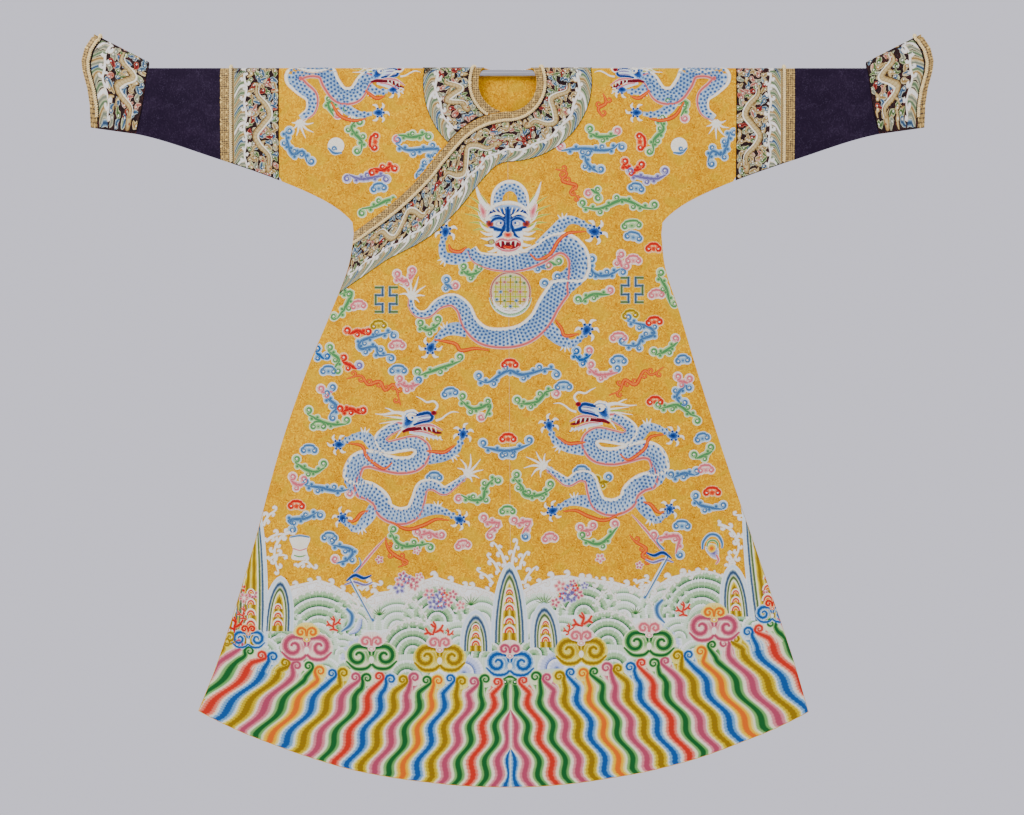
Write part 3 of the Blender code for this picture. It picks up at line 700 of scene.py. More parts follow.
leftX, leftV = bodyHalf(1, 1.0)
rightX, rightV = bodyHalf(-1, 0.87)
flapX, flapV = flapPlaces()
leftRobe = clothShell("robeLeft", leftX, leftV, outerLift, plainThick, yellowSilk, (0.12, -0.60))
rightRobe = clothShell("robeRight", rightX, rightV, noLift, rightThick, yellowSilk, (-0.30, -0.60))
flapRobe = clothShell("robeFlap", flapX, flapV, evenly(underlap), plainThick, yellowSilk, (-0.30, 0.50))
finishPiece(leftRobe, ("front_left", "back_left"))
finishPiece(rightRobe, ("front_right", "back_right"))
finishPiece(flapRobe, ("front_flap",))
print("body:", [round(meshArea(piece), 3) for piece in (leftRobe, rightRobe, flapRobe)])


# sleeves

cuffTable = {
    "seam": [0.7370, 0.7395, 0.7420, 0.7445, 0.7485, 0.7535, 0.7637],
    "edge": [0.8500, 0.8680, 0.8745, 0.8725, 0.8625, 0.8575, 0.8570],
    "seamHeight": [0.0234, 0.0, -0.0150, -0.0355, -0.0600, -0.0850, -0.1245],
    "edgeHeight": [0.0810, 0.0510, 0.0250, 0.0050, -0.0320, -0.0660, -0.1115],
}
cuffFold = 0.004
cuffArc = 0.06   # the share of its depth over which a cuff turns at the top
cuffSteps = np.arange(len(cuffTable["seam"]))
cuffSeam = curveOf(list(zip(cuffTable["seamHeight"][::-1], cuffTable["seam"][::-1])))


def sleevePlaces(start, end, columns, rows=22):
    # Rows right round a sleeve piece, from the back's underside over the fold to the front's.
    xs, vs = [], []
    part = np.linspace(0, 1, columns + 1)
    downs = [quarter * k / 5 for k in range(5)]
    for down in downs:
        drop = down - quarter
        xs.append(lerp(start(drop), end(drop), part))
        vs.append(np.full(columns + 1, down))
    for k in range(rows + 1):
        share = 1 - (1 - k / rows) ** 1.25
        reach = lerp(start(0.1), end(0.1), part)
        drop = share * underDrop(reach)
        reach = np.array([lerp(start(d), end(d), p) for d, p in zip(drop, part)])
        xs.append(reach)
        vs.append(quarter + share * underDrop(reach))
    xs, vs = np.array(xs), np.array(vs)
    return np.concatenate([xs[:0:-1], xs]), np.concatenate([-vs[:0:-1], vs])


def cuffRow(w, name):
    # A measure of the cuff's table at w, from the top (0) to the underside (1).
    row = np.clip((np.abs(w) - cuffArc) / (1 - cuffArc), 0, 1) * cuffSteps[-1]
    return np.interp(row, cuffSteps, cuffTable[name])


def cuffPoints(sign, share, w, out):
    # A place on a cuff, with share from its seam to its open edge.
    share, w, out = (np.asarray(part, float) for part in np.broadcast_arrays(share, w, out))
    t = np.abs(w)
    x = lerp(cuffRow(w, "seam") + seamGap, cuffRow(w, "edge"), share)
    z = lerp(cuffRow(w, "seamHeight"), cuffRow(w, "edgeHeight"), share)
    start, tip = cuffTable["seam"][0] + seamGap, cuffTable["edge"][0]
    foldOut = cuffFold + clothThick
    along = np.clip((x - start) / (tip - start), 0, 1)
    top = lerp(cuffTable["seamHeight"][0], cuffTable["edgeHeight"][0], along)
    turn = 0.5 * math.pi * (1 - np.minimum(t, cuffArc) / cuffArc)
    yArc = (cuffFold + out) * np.cos(turn)
    zArc = z - foldOut + (cuffFold + out) * np.sin(turn)
    axis = top - foldOut
    below = np.minimum(-1e-6, z - axis)
    zLow = axis + below
    depth = lerp(cuffFold, 0.009, smooth(-below / 0.03))
    near = np.clip((zLow + underDrop(x)) / 0.060, 0, 1)
    yLow = halfGap + (depth - halfGap) * near * (2 - near) + out
    over = t < cuffArc
    y = np.where(over, yArc, yLow)
    return np.stack([sign * x, np.where(w >= 0, -y, y), np.where(over, zArc, zLow)], -1)


def cuffShareAt(w, width):
    # The share at which a line runs a width inside the cuff's open edge.
    across = cuffRow(w, "edge") - cuffRow(w, "seam")
    rise = cuffRow(w, "edgeHeight") - cuffRow(w, "seamHeight")
    return 1 - width / np.hypot(across, rise)


cuffRows = np.concatenate([np.linspace(0, cuffArc, 6)[:-1], np.linspace(cuffArc, 1, 25)])
cuffRows = np.concatenate([-cuffRows[:0:-1], cuffRows])


def cuffShell(name, sign, start, end, columns, material):
    part = np.linspace(0, 1, columns + 1)[None, :]
    w = cuffRows[:, None] + 0 * part
    share = lerp(start(w), end(w), part)
    inside, outside = cuffPoints(sign, share, w, 0.0), cuffPoints(sign, share, w, clothThick)
    uv = np.stack([share * 0.12, w * 0.14], -1)
    return closedWall(name, inside, outside, material, uv)


sleeveParts = [
    ("sleeveBand", "sleeve_band", lambda d: sleeveSeam + seamGap, lambda d: bandEnd - halfGap, 10, blackSilk,
     "dark_embroidery"),
    ("sleeveBrocade", "sleeve_brocade", lambda d: bandEnd + halfGap, lambda d: brocadeEnd - halfGap, 3,
     goldBrocade, "gold_brocade"),
    ("lowerSleeve", "lower_sleeve", lambda d: brocadeEnd + halfGap, lambda d: float(cuffSeam(-d)) - seamGap,
     24, navySilk, "navy_silk"),
]
wearers = ((-1, "right"), (1, "left"))


def halves(node, wearer):
    return f"{node}_{wearer}_front", f"{node}_{wearer}_back"


for sign, wearer in wearers:
    for pieceName, node, start, end, columns, material, slotName in sleeveParts:
        x, v = sleevePlaces(start, end, columns)
        shift = (0.5 * sign, 0.02)
        piece = clothShell(f"{pieceName}_{wearer}", sign * x, v, noLift, plainThick, material, shift)
        finishPiece(piece, halves(node, wearer))
        print(piece.name, round(meshArea(piece), 4))
    cuff = cuffShell(f"cuff_{wearer}", sign, lambda w: 0 * w,
                     lambda w: cuffShareAt(w, edgingWidth + halfGap), 14, blackSilk)
    edging = cuffShell(f"cuffEdging_{wearer}", sign, lambda w: cuffShareAt(w, edgingWidth - halfGap),
                       lambda w: 1 + 0 * w, 3, goldBrocade)
    finishPiece(cuff, halves("cuff", wearer))
    finishPiece(edging, halves("cuff_edging", wearer))
    print(cuff.name, round(meshArea(cuff), 4))
print("sleeves ready")


# facing, binding and piping

def ringPlace(offset, turn):
    radius = neckRadius + offset
    return radius * math.sin(turn), neckDown + radius * math.cos(turn)


def flapPlace(offset, reach):
    small = 0.0005
    below, above = float(flapDrop(reach + small)), float(flapDrop(max(0.0, reach - small)))
    rise = (below - above) / (small + min(small, reach))
    if reach < small:
        rise = 0.0
    size = math.hypot(1.0, rise)
    return -reach + offset * rise / size, quarter + float(flapDrop(reach)) + offset / size


def flapOffset(wanted, reach):
    outer = lerp(facingOnFlap, facingAtSide, float(smooth((reach - 0.21) / 0.10)))
    return wanted if wanted < facingStart + 0.001 else wanted * outer / facingOnFlap


def flapEnd(offset):
    def beyond(reach):
        x, down = flapPlace(flapOffset(offset, reach), reach)
        return float(sideReach[-1](max(underarmDrop, down - quarter))) - 0.001 + x
    return solve(beyond, 0.2, 0.5)


def outerOffset(wanted, progress):
    # The facing draws in a little from the shoulder to the flap.
    if wanted <= facingStart:
        return wanted
    outer = lerp(facingAtShoulder, facingOnFlap, float(smooth(progress)))
    return facingStart + (wanted - facingStart) * (outer - facingStart) / (facingAtShoulder - facingStart)


collarSteps = {"ring": 30, "flap": 64}


def ringPlaces(offsetAt, endTurn):
    places = []
    offset = offsetAt(0.0)
    for down in [quarter * k / 4 for k in range(5)]:
        turn = math.acos((down - neckDown) / (neckRadius + offset))
        places.append(ringPlace(offset, turn))
    for k in range(1, collarSteps["ring"] + 1):
        progress = k / collarSteps["ring"]
        places.append(ringPlace(offsetAt(progress), lerp(turn, endTurn, progress)))
    return places


def outerPath(wanted):
    # Places from the left shoulder round the neck and down the flap's edge.
    places = ringPlaces(lambda progress: outerOffset(wanted, progress), 0.0)
    offset = outerOffset(wanted, 1.0)
    end = flapEnd(offset)
    for k in range(1, collarSteps["flap"] + 1):
        reach = end * k / collarSteps["flap"]
        places.append(flapPlace(flapOffset(offset, reach), reach))
    return places


def innerPath(offset):
    # Places from the right shoulder round the neck to where the flap covers it.
    def aboveFlap(turn):
        x, down = ringPlace(offset, turn)
        return quarter + float(flapDrop(x)) - 0.0012 - down
    end = max(math.radians(13), solve(aboveFlap, math.radians(1), math.radians(85)))
    return [(-x, down) for x, down in ringPlaces(lambda progress: offset, end)]


def backPath(offset):
    # Places across the back neck, from shoulder to shoulder.
    span = neckReach(-quarter) + 1.1 * offset
    depth = backDip + offset
    turns = [0.5 * math.pi * (k / 30) ** 1.3 for k in range(31)]
    half = [(span * math.cos(t), -depth * math.sin(t)) for t in turns]
    return half + [(-x, down) for x, down in half[-2::-1]]


def onOuter(x, v):
    return outerLift(x, v) + clothThick + layerGap


onRight, onBack = evenly(underThick + layerGap), evenly(clothThick + layerGap)


trimThickness = evenly(trimThick)




def newTree(name, inputs, result):
    # A Geometry Nodes tree with its named inputs, each a (name, kind of socket, value).
    tree = bpy.data.node_groups.new(name, "GeometryNodeTree")
    for label, kind, value in inputs:
        socket = tree.interface.new_socket(label, in_out="INPUT", socket_type="NodeSocket" + kind)
        if value is not None:
            socket.default_value = value
    tree.interface.new_socket(result, in_out="OUTPUT", socket_type="NodeSocketGeometry")
    entry = tree.nodes.new("NodeGroupInput")
    return {label: Sock(tree, entry.outputs[label]) for label, _, _ in inputs}


def closeTree(made, finish):
    real = made.node("GeometryNodeRealizeInstances", 0, None, Geometry=made)
    last = made.node("GeometryNodeSetMaterial", 0, None, Geometry=real, Material=finish)
    made.tree.links.new(last.output, made.tree.nodes.new("NodeGroupOutput").inputs[0])
    return made.tree


cordSizes = {"Strand Radius": 0.0023, "Strand Offset": 0.0016, "Turns Per Metre": 115.0, "Spacing": 0.002}


def cordTree():
    # Geometry Nodes: two strands laid round each other along a path.
    sizes = [(label, "Float", size) for label, size in cordSizes.items()]
    inputs = [("Path", "Geometry", None), *sizes, ("Finish", "Material", None)]
    given = newTree("twistedCord", inputs, "Cord")
    path = given["Path"]
    spaced = path.node("GeometryNodeResampleCurve", 0, {"mode": "LENGTH"}, Curve=path,
                       Length=given["Spacing"])
    angle = path.node("GeometryNodeSplineParameter", "Length") * given["Turns Per Metre"] * (2 * math.pi)
    tilted = path.node("GeometryNodeSetCurveTilt", 0, None, Curve=spaced, Tilt=angle)
    strands = path.node("GeometryNodeJoinGeometry")
    for direction in (-1, 1):
        circle = path.node("GeometryNodeCurvePrimitiveCircle", 0, None, Resolution=6,
                           Radius=given["Strand Radius"])
        shift = path.node("ShaderNodeCombineXYZ", 0, None, X=given["Strand Offset"] * direction)
        moved = path.node("GeometryNodeTransform", 0, None, Geometry=circle, Translation=shift)
        path.tree.links.new(moved.output, strands.output.node.inputs[0])
    swept = path.node("GeometryNodeCurveToMesh", 0, None, Curve=tilted, Profile_Curve=strands,
                      Fill_Caps=True)
    return closeTree(swept, given["Finish"])


twistedCord = cordTree()


def treeResult(name, source, tree, **values):
    # Runs a tree on an object and keeps the outcome as a plain mesh.
    modifier = source.modifiers.new("make", "NODES")
    modifier.node_group = tree
    wanted = {key.replace("_", " "): value for key, value in values.items()}
    for item in tree.interface.items_tree:
        if item.item_type == "SOCKET" and item.in_out == "INPUT" and item.name in wanted:
            modifier[item.identifier] = wanted[item.name]
    evaluated = source.evaluated_get(bpy.context.evaluated_depsgraph_get())
    mesh = bpy.data.meshes.new_from_object(evaluated)
    mesh.name = name
    source.modifiers.remove(modifier)
    bpy.data.objects.remove(source, do_unlink=True)
    mesh.shade_smooth()
    return addObject(name, mesh)


def cordAlong(name, points, nodes):
    curve = bpy.data.curves.new(name + "Path", "CURVE")
    curve.dimensions = "3D"
    curve.twist_mode = "Z_UP"
    spline = curve.splines.new("POLY")
    spline.points.add(len(points) - 1)
    spline.points.foreach_set("co", np.concatenate([points, np.ones((len(points), 1))], 1).ravel())
    made = treeResult(name, addObject(name + "Path", curve), twistedCord, Finish=pipingCord)
    return finishPiece(made, nodes)


cordHeight = 0.0034
facingOffsets = [facingStart] + [lerp(facingStart, facingAtShoulder, k / 12) for k in range(1, 13)]
collar = {}
for where, path, lift in (("outer", outerPath, onOuter), ("inner", innerPath, onRight),
                          ("back", backPath, onBack)):
    for ply, offsets, material, slotName in (
            ("binding", [0.0004, 0.005, 0.010, bindingWidth], goldBrocade, "gold_brocade"),
            ("facing", facingOffsets, blackSilk, "dark_embroidery")):
        places = np.array([path(offset) for offset in offsets])
        piece = clothShell(f"{ply}Strip_{where}", places[:, :, 0], places[:, :, 1], lift, trimThickness,
                           material, (-0.5, -0.5))
        finishPiece(piece, (f"{ply}_{where}",))
        if ply == "facing":
            collar[where] = (np.array(offsets), places, lift)
            print(piece.name, round(meshArea(piece), 4))
    line = np.array(path(pipingOffset))
    points = clothPoints(line[:, 0], line[:, 1], lift(line[:, 0], line[:, 1]) + cordHeight)
    cordAlong(f"collarPiping_{where}", points, (f"piping_{where}",))

for sign, wearer in wearers:
    x, v = sleevePlaces(lambda d: bandEnd, lambda d: bandEnd, 1, 30)
    x, v = sign * x[:, 0], v[:, 0]
    v[0], v[-1] = v[0] + 0.003, v[-1] - 0.003
    points = clothPoints(x, v, clothThick + layerGap + cordHeight)
    cordAlong(f"sleevePiping_{wearer}", points, halves("sleeve_piping", wearer))
    w = cuffRows[2:-2]
    points = cuffPoints(sign, cuffShareAt(w, edgingWidth), w, clothThick + layerGap + cordHeight)
    cordAlong(f"cuffPiping_{wearer}", points, halves("cuff_piping", wearer))
print("collar and piping ready")


# the needlework
# places are millimetres on the flat cloth: x, and the drop below the rod's axis

tones = {   # silk shades of each satin stitch, from one edge over the middle to the other
    "blue": ((230, 240, 240), (146, 184, 208), (70, 108, 150), (134, 172, 200), (228, 238, 238)),
    "green": ((236, 242, 204), (164, 202, 134), (78, 136, 80), (152, 192, 126), (232, 240, 200)),
    "pink": ((252, 234, 220), (238, 174, 166), (208, 108, 116), (236, 170, 162), (250, 232, 218)),
    "red": ((252, 212, 160), (232, 100, 66), (190, 38, 30), (228, 96, 62), (252, 208, 158)),
    "grey": ((238, 236, 234), (176, 172, 206), (108, 100, 150), (172, 168, 202), (236, 234, 232)),
    "olive": ((240, 228, 130), (206, 178, 50), (144, 114, 2), (202, 174, 48), (238, 224, 126)),
    "orange": ((252, 236, 150), (250, 196, 70), (224, 112, 16), (250, 192, 66), (250, 234, 146)),
    "deepBlue": ((226, 238, 240), (126, 172, 206), (34, 84, 146), (118, 166, 202), (226, 238, 240)),
    "deepGreen": ((236, 242, 196), (126, 176, 104), (26, 92, 40), (112, 168, 96), (232, 240, 194)),
    "deepRed": ((252, 224, 196), (234, 134, 112), (198, 62, 52), (232, 130, 110), (250, 222, 194)),
    "rose": ((250, 226, 208), (218, 140, 144), (172, 78, 98), (214, 134, 140), (248, 222, 204)),
    "billow": ((255, 255, 250), (242, 248, 236), (174, 206, 160), (118, 162, 110), (50, 100, 64)),
    "paleBillow": ((255, 255, 250), (248, 252, 246), (218, 234, 208), (170, 202, 160), (104, 146, 108)),
    "lilacBillow": ((252, 252, 252), (236, 240, 246), (204, 212, 236), (154, 168, 208), (84, 104, 164)),
    "foam": ((232, 208, 178), (255, 250, 236), (255, 255, 248), (255, 250, 236), (232, 204, 176)),
    "skin": ((246, 248, 244), (226, 236, 240), (214, 228, 236), (226, 236, 240), (246, 248, 244)),
    "scale": ((198, 216, 230), (134, 166, 198), (58, 88, 138), (134, 166, 198), (198, 216, 230)),
    "face": ((150, 180, 214), (48, 86, 152), (20, 46, 104), (48, 86, 152), (150, 180, 214)),
    "horn": ((254, 236, 196), (255, 252, 238), (255, 252, 236), (254, 242, 214), (246, 196, 150)),
    "flame": ((196, 60, 20), (214, 80, 32), (238, 130, 70), (214, 80, 32), (196, 60, 20)),
    "gold": ((84, 62, 30), (178, 150, 98), (210, 188, 138), (172, 144, 92), (80, 58, 26)),
    "mane": ((240, 234, 150), (206, 208, 96), (152, 168, 60), (204, 206, 96), (240, 236, 156)),
    "darkRed": ((176, 64, 62), (132, 26, 36), (90, 12, 26), (132, 26, 36), (176, 64, 62)),
    "cream": ((255, 250, 234), (255, 249, 228), (254, 246, 222), (255, 249, 228), (255, 250, 234)),
    "mutedBlue": ((206, 212, 196), (126, 150, 162), (56, 78, 104), (120, 146, 160), (204, 210, 194)),
    "mutedGreen": ((216, 216, 172), (142, 158, 108), (72, 96, 56), (136, 152, 104), (212, 214, 168)),
    "wine": ((190, 120, 96), (150, 58, 50), (106, 32, 30), (148, 56, 50), (188, 118, 96)),
    "tide": ((214, 208, 170), (172, 170, 138), (124, 130, 112), (176, 174, 142), (218, 212, 176)),
    "tideGreen": ((204, 208, 172), (150, 164, 124), (94, 116, 86), (156, 168, 130), (210, 212, 178)),
    "belly": ((244, 214, 196), (228, 158, 146), (204, 100, 98), (226, 154, 142), (242, 212, 194)),
    "dusty": ((236, 208, 178), (206, 152, 130), (160, 94, 84), (204, 150, 128), (232, 206, 176)),
    "beige": ((224, 208, 166), (200, 178, 128), (152, 122, 76), (196, 174, 124), (222, 206, 164)),
}
toneNames = list(tones)
toneColumn = {name: k for k, name in enumerate(toneNames)}


silkDepth = 1.14   # how much stronger the threads are dyed than their plain shades


def dye(colour):
    mixed = linear(colour)[:3]
    grey = sum(mixed) / 3
    return tuple(min(1.0, max(0.0, grey + (c - grey) * silkDepth)) for c in mixed) + (1.0,)


def silkThread(name):
    # Satin stitch: threads across each figure, long and short where one shade meets the next.
    made, tree, shader = newMaterial(name, 0.36, 0.06, (1.0, 0.97, 0.92))
    u, v = mapSockets(tree)
    count = len(toneNames)
    threads = (u * (count * 10.0)).maths("FLOOR")
    place = threads.node("ShaderNodeCombineXYZ", 0, None, i0=threads, i1=3.0, i2=0.0)
    chance = place.node("ShaderNodeTexWhiteNoise", 0, {"noise_dimensions": "3D"}, i0=place)
    uneven = v + (chance - 0.5) * 0.11
    colour = None
    for band, (low, high) in enumerate(((0, 0), (0.07, 0.14), (0.24, 0.35), (0.65, 0.76), (0.86, 0.93))):
        stops = [(k / count, dye(tones[tone][band])) for k, tone in enumerate(toneNames)]
        shade = u.node("ShaderNodeValToRGB", 0, {"stops": ("CONSTANT", stops)}, i0=u)
        colour = shade if colour is None else mixColours(uneven.ramp(low, high), colour, shade)
    groove = (u * (count * 10.0 * 2 * math.pi)).maths("COSINE") * 0.5 + 0.5
    # painted shade in the grooves between threads, and some threads darker at random
    grooveShadeAndTone = groove * 0.16 + chance * 0.14
    colour = mixColours(grooveShadeAndTone, colour, (0.05, 0.04, 0.05, 1.0))
    wireUp(tree, shader, colour, 1 - groove, 0.00022, 0.5, chance * 0.14 + 0.30)
    return made


threadSilk = silkThread("threadSilk")


def smoothLine(points, step=4.5, closed=False):
    # A flowing line through places, cut into even steps.
    p = np.array(points, float)
    if closed:
        p = np.concatenate([p[-1:], p, p[:2]])
    else:
        p = np.concatenate([2 * p[:1] - p[1:2], p, 2 * p[-1:] - p[-2:-1]])
    t = np.linspace(0, 1, 9)[:-1, None]
    spans = [0.5 * (2 * b + (c - a) * t + (2 * a - 5 * b + 4 * c - d) * t * t
                    + (3 * b - a - 3 * c + d) * t ** 3)
             for a, b, c, d in zip(p, p[1:], p[2:], p[3:])]
    line = np.concatenate(spans + [p[-2:-1]])
    far = np.concatenate([[0], np.cumsum(np.hypot(*np.diff(line, axis=0).T))])
    at = np.linspace(0, far[-1], max(3, int(round(far[-1] / step)) + 1))
    return np.stack([np.interp(at, far, line[:, 0]), np.interp(at, far, line[:, 1])], -1)


def sideways(line):
    # Unit steps to the right-hand side of a line, with x to the right and the drop downwards.
    ahead = np.gradient(line, axis=0)
    size = np.maximum(np.hypot(ahead[:, 0], ahead[:, 1]), 1e-9)
    return np.stack([-ahead[:, 1] / size, ahead[:, 0] / size], -1)


def profile(widths, count):
    widths = np.atleast_1d(np.array(widths, float))
    if len(widths) == 1:
        return np.full(count, widths[0])
    return np.interp(np.linspace(0, 1, count), np.linspace(0, 1, len(widths)), widths)


def spiral(x, y, radius, start, turns, hand, inner=0.18):
    # Places winding in to a centre; hand 1 turns clockwise as seen.
    count = max(6, int(10 * turns))
    t = np.linspace(0, 1, count)
    size = radius * (1 - (1 - inner) * t ** 0.85)
    angle = start + hand * 2 * math.pi * turns * t
    return np.stack([x + size * np.cos(angle), y + size * np.sin(angle)], -1)


def rootAngle(side, hand):
    # Where a curl starts that grows from a line, on the side that hand gives.
    return math.atan2(-side[1] * hand, -side[0] * hand)


def off(x, y, reach, angle):
    return x + reach * math.cos(angle), y + reach * math.sin(angle)


class Needlework:
    # Figures worked in satin stitch on one surface of the robe.

    def __init__(self, place, keeps=None, hold=None):
        self.place, self.keeps, self.hold = place, keeps, hold
        self.points, self.faces, self.uvs = [], [], []
        self.count = 0

    def grid(self, flat, heights, v, tone):
        # Rows of stitches, without those that fall off the cloth or have shrunk to nothing.
        if self.hold is not None:
            flat = self.hold(flat)
        kept = np.hypot(*(flat[:, -1] - flat[:, 0]).T) > 0.25
        if self.keeps is not None:
            kept &= self.keeps(flat[:, :, 0], flat[:, :, 1]).all(axis=1)
        edges = np.flatnonzero(np.diff(np.concatenate([[0], kept.astype(int), [0]])))
        for a, b in zip(edges[::2], edges[1::2]):
            if b - a > 1:
                self.lay(flat[a:b], heights[a:b], v, tone)

    def lay(self, flat, heights, v, tone):
        rows, columns = flat.shape[:2]
        points = self.place(flat[:, :, 0], flat[:, :, 1], heights)
        out = self.place(flat[:1, :2, 0], flat[:1, :2, 1], heights[:1, :2] + 1.0)[0, 0] - points[0, 0]
        index = np.arange(rows * columns).reshape(rows, columns)
        quads = np.stack([index[:-1, :-1], index[1:, :-1], index[1:, 1:], index[:-1, 1:]], -1).reshape(-1, 4)
        points = points.reshape(-1, 3)
        a, b, c, d = (points[quads[:, k]] for k in range(4))
        if np.cross(c - a, d - b).sum(axis=0) @ out < 0:
            quads = quads[:, ::-1]
        u = (toneColumn[tone] + np.where(np.arange(rows) % 2, 0.8, 0.2)) / len(toneNames)
        uv = np.stack(np.broadcast_arrays(u[:, None], v[None, :]), -1).reshape(-1, 2)
        self.points.append(points)
        self.faces.append(quads + self.count)
        self.uvs.append(uv[quads.ravel()])
        self.count += len(points)

    def strip(self, left, right, tone, height=0.30, foot=0.08, full=False, span=(0.0, 1.0),
              rim=(0.12, 0.12)):
        # Stitches from one edge to the other; full gives the shape more steps across.
        across, thread = ([0, share, 0.5, 1 - share, 1.0] if full else [0, 0.5, 1.0] for share in rim)
        across, thread = np.array(across), np.array(thread)
        lift = np.array([0, 0.75, 1, 0.75, 0]) if full else np.array([0, 1.0, 0])
        flat = left[:, None, :] + (right - left)[:, None, :] * across[None, :, None]
        heights = np.broadcast_to(foot + (height - foot) * lift, flat.shape[:2])
        self.grid(flat, heights, span[0] + (span[1] - span[0]) * thread, tone)

    def ribbon(self, points, widths, tone, height=0.30, foot=0.08, step=4.5, full=False, closed=False):
        line = smoothLine(points, step, closed)
        offset = sideways(line) * (profile(widths, len(line)) / 2)[:, None]
        self.strip(line - offset, line + offset, tone, height, foot, full)
        return line

    def blob(self, rim, tone, height=0.30, foot=0.08, step=4.0, deep=0.5):
        # A padded patch stitched from its rim to its middle.
        line = smoothLine(rim, step, True)[:-1]
        middle = line.mean(axis=0)
        reach = np.hypot(*(line - middle).T).max()
        shares = np.linspace(0, 0.999, 3 + int(reach / 9))
        rings = np.stack([lerp(line, middle, share) for share in shares], 1)
        rings = np.concatenate([rings, rings[:1]])
        heights = np.broadcast_to(lerp(foot, height, np.sqrt(1 - (1 - shares) ** 2)), rings.shape[:2])
        self.grid(rings, heights, shares * deep, tone)

    def disc(self, x, y, rx, ry, tone, angle=0.0, height=0.30, foot=0.08, step=4.0, deep=0.5):
        t = np.linspace(0, 2 * math.pi, 13)[:-1]
        cos, sin = math.cos(angle), math.sin(angle)
        rim = np.stack([x + rx * np.cos(t) * cos - ry * np.sin(t) * sin,
                        y + rx * np.cos(t) * sin + ry * np.sin(t) * cos], -1)
        self.blob(rim, tone, height, foot, step, deep=deep)

    def finish(self, name, slot="yellow_silk"):
        faces = np.concatenate(self.faces)
        points, uvs = np.concatenate(self.points), np.concatenate(self.uvs)
        made = objectFrom(name, points.tolist(), faces.tolist(), threadSilk, uvs)
        made.data.validate()
        print(name, 2 * len(faces), "triangles")
        return finishPiece(made)


# clouds

cloudSize = {"curl": 9.6, "thread": 8.2, "body": 15.5, "rise": 0.34}
partners = {"blue": "pink", "green": "pink", "pink": "blue", "deepBlue": "pink", "red": "grey",
            "grey": "blue", "olive": "blue", "deepGreen": "rose"}


def curl(work, x, y, radius, start, hand, tone, turns=1.05, foot=0.10):
    work.disc(x, y, radius * 1.1, radius * 1.1, tone, 0.0, 0.28, 0.09, 5.0, 0.5)
    path = spiral(x, y, radius * 0.74, start, turns, hand, 0.32)
    wide = cloudSize["thread"] * radius / cloudSize["curl"]
    work.ribbon(path, (wide * 0.8, wide, wide * 0.8), tone, cloudSize["rise"] + 0.08, foot + 0.12, 3.2)
    work.disc(x, y, radius * 0.24, radius * 0.24, "cream", 0.0, cloudSize["rise"] + 0.12, foot + 0.24, 3.0)


def scroll(work, tone, points):
    # A trailing cloud: a winding body with curls on alternate sides.
    body, radius = cloudSize["body"], cloudSize["curl"]
    points = np.array(points, float)
    line = work.ribbon(points, (4.0, body * 0.8, body, body * 0.8, 4.0), tone, cloudSize["rise"], 0.08, 4.5)
    marks = np.linspace(0, len(line) - 1, max(3, len(points))).astype(int)
    side = sideways(line)
    pick = int(abs(points[0, 0]) + len(points)) % 3
    for k, mark in enumerate(marks):
        hand = 1 if k % 2 else -1
        reach = radius * (1.0 if k in (0, len(marks) - 1) else 0.82)
        centre = line[mark] + side[mark] * hand * reach * 0.9
        last = pick == 0 and k == len(marks) - 1
        inTone = partners.get(tone, tone) if last else tone
        curl(work, *centre, reach, rootAngle(side[mark], hand), hand, inTone)
    for k, (a, b) in enumerate(zip(marks, marks[1:])):
        for share, hand in ((0.36, 1), (0.64, -1)):
            mark = int(lerp(a, b, share))
            if b - a > 4:
                bump = line[mark] + side[mark] * hand * body * 0.26
                work.disc(*bump, 7.2, 7.2, tone, 0.0, cloudSize["rise"] - 0.02, 0.09, 5.0)


def twin(work, tone, a, b):
    # Two curls meeting over a small bridge.
    a, b = np.array(a, float), np.array(b, float)
    middle = (a + b) / 2
    a, b = lerp(a, middle, 0.18), lerp(b, middle, 0.18)
    along = (b - a) / np.hypot(*(b - a))
    up = np.array([along[1], -along[0]])
    if up[1] > 0:
        up = -up
    radius = cloudSize["curl"] * 0.92
    angle = math.atan2(up[1], up[0])
    turned = 1 if along[0] * up[1] - along[1] * up[0] < 0 else -1
    arch = [a - up * radius * 0.2, a + up * radius * 0.9, middle + up * radius * 1.2, b + up * radius * 0.9,
            b - up * radius * 0.2]
    slant = math.atan2(along[1], along[0])
    work.disc(*middle, np.hypot(*(b - a)) * 0.42, radius * 0.9, tone, slant, 0.26, 0.09, 5.0, 0.40)
    work.ribbon(arch, (4.0, 8.0, 9.0, 8.0, 4.0), tone, cloudSize["rise"] + 0.04, 0.14, 4.0)
    curl(work, *a, radius, angle, -turned, tone)
    curl(work, *b, radius, angle, turned, tone)


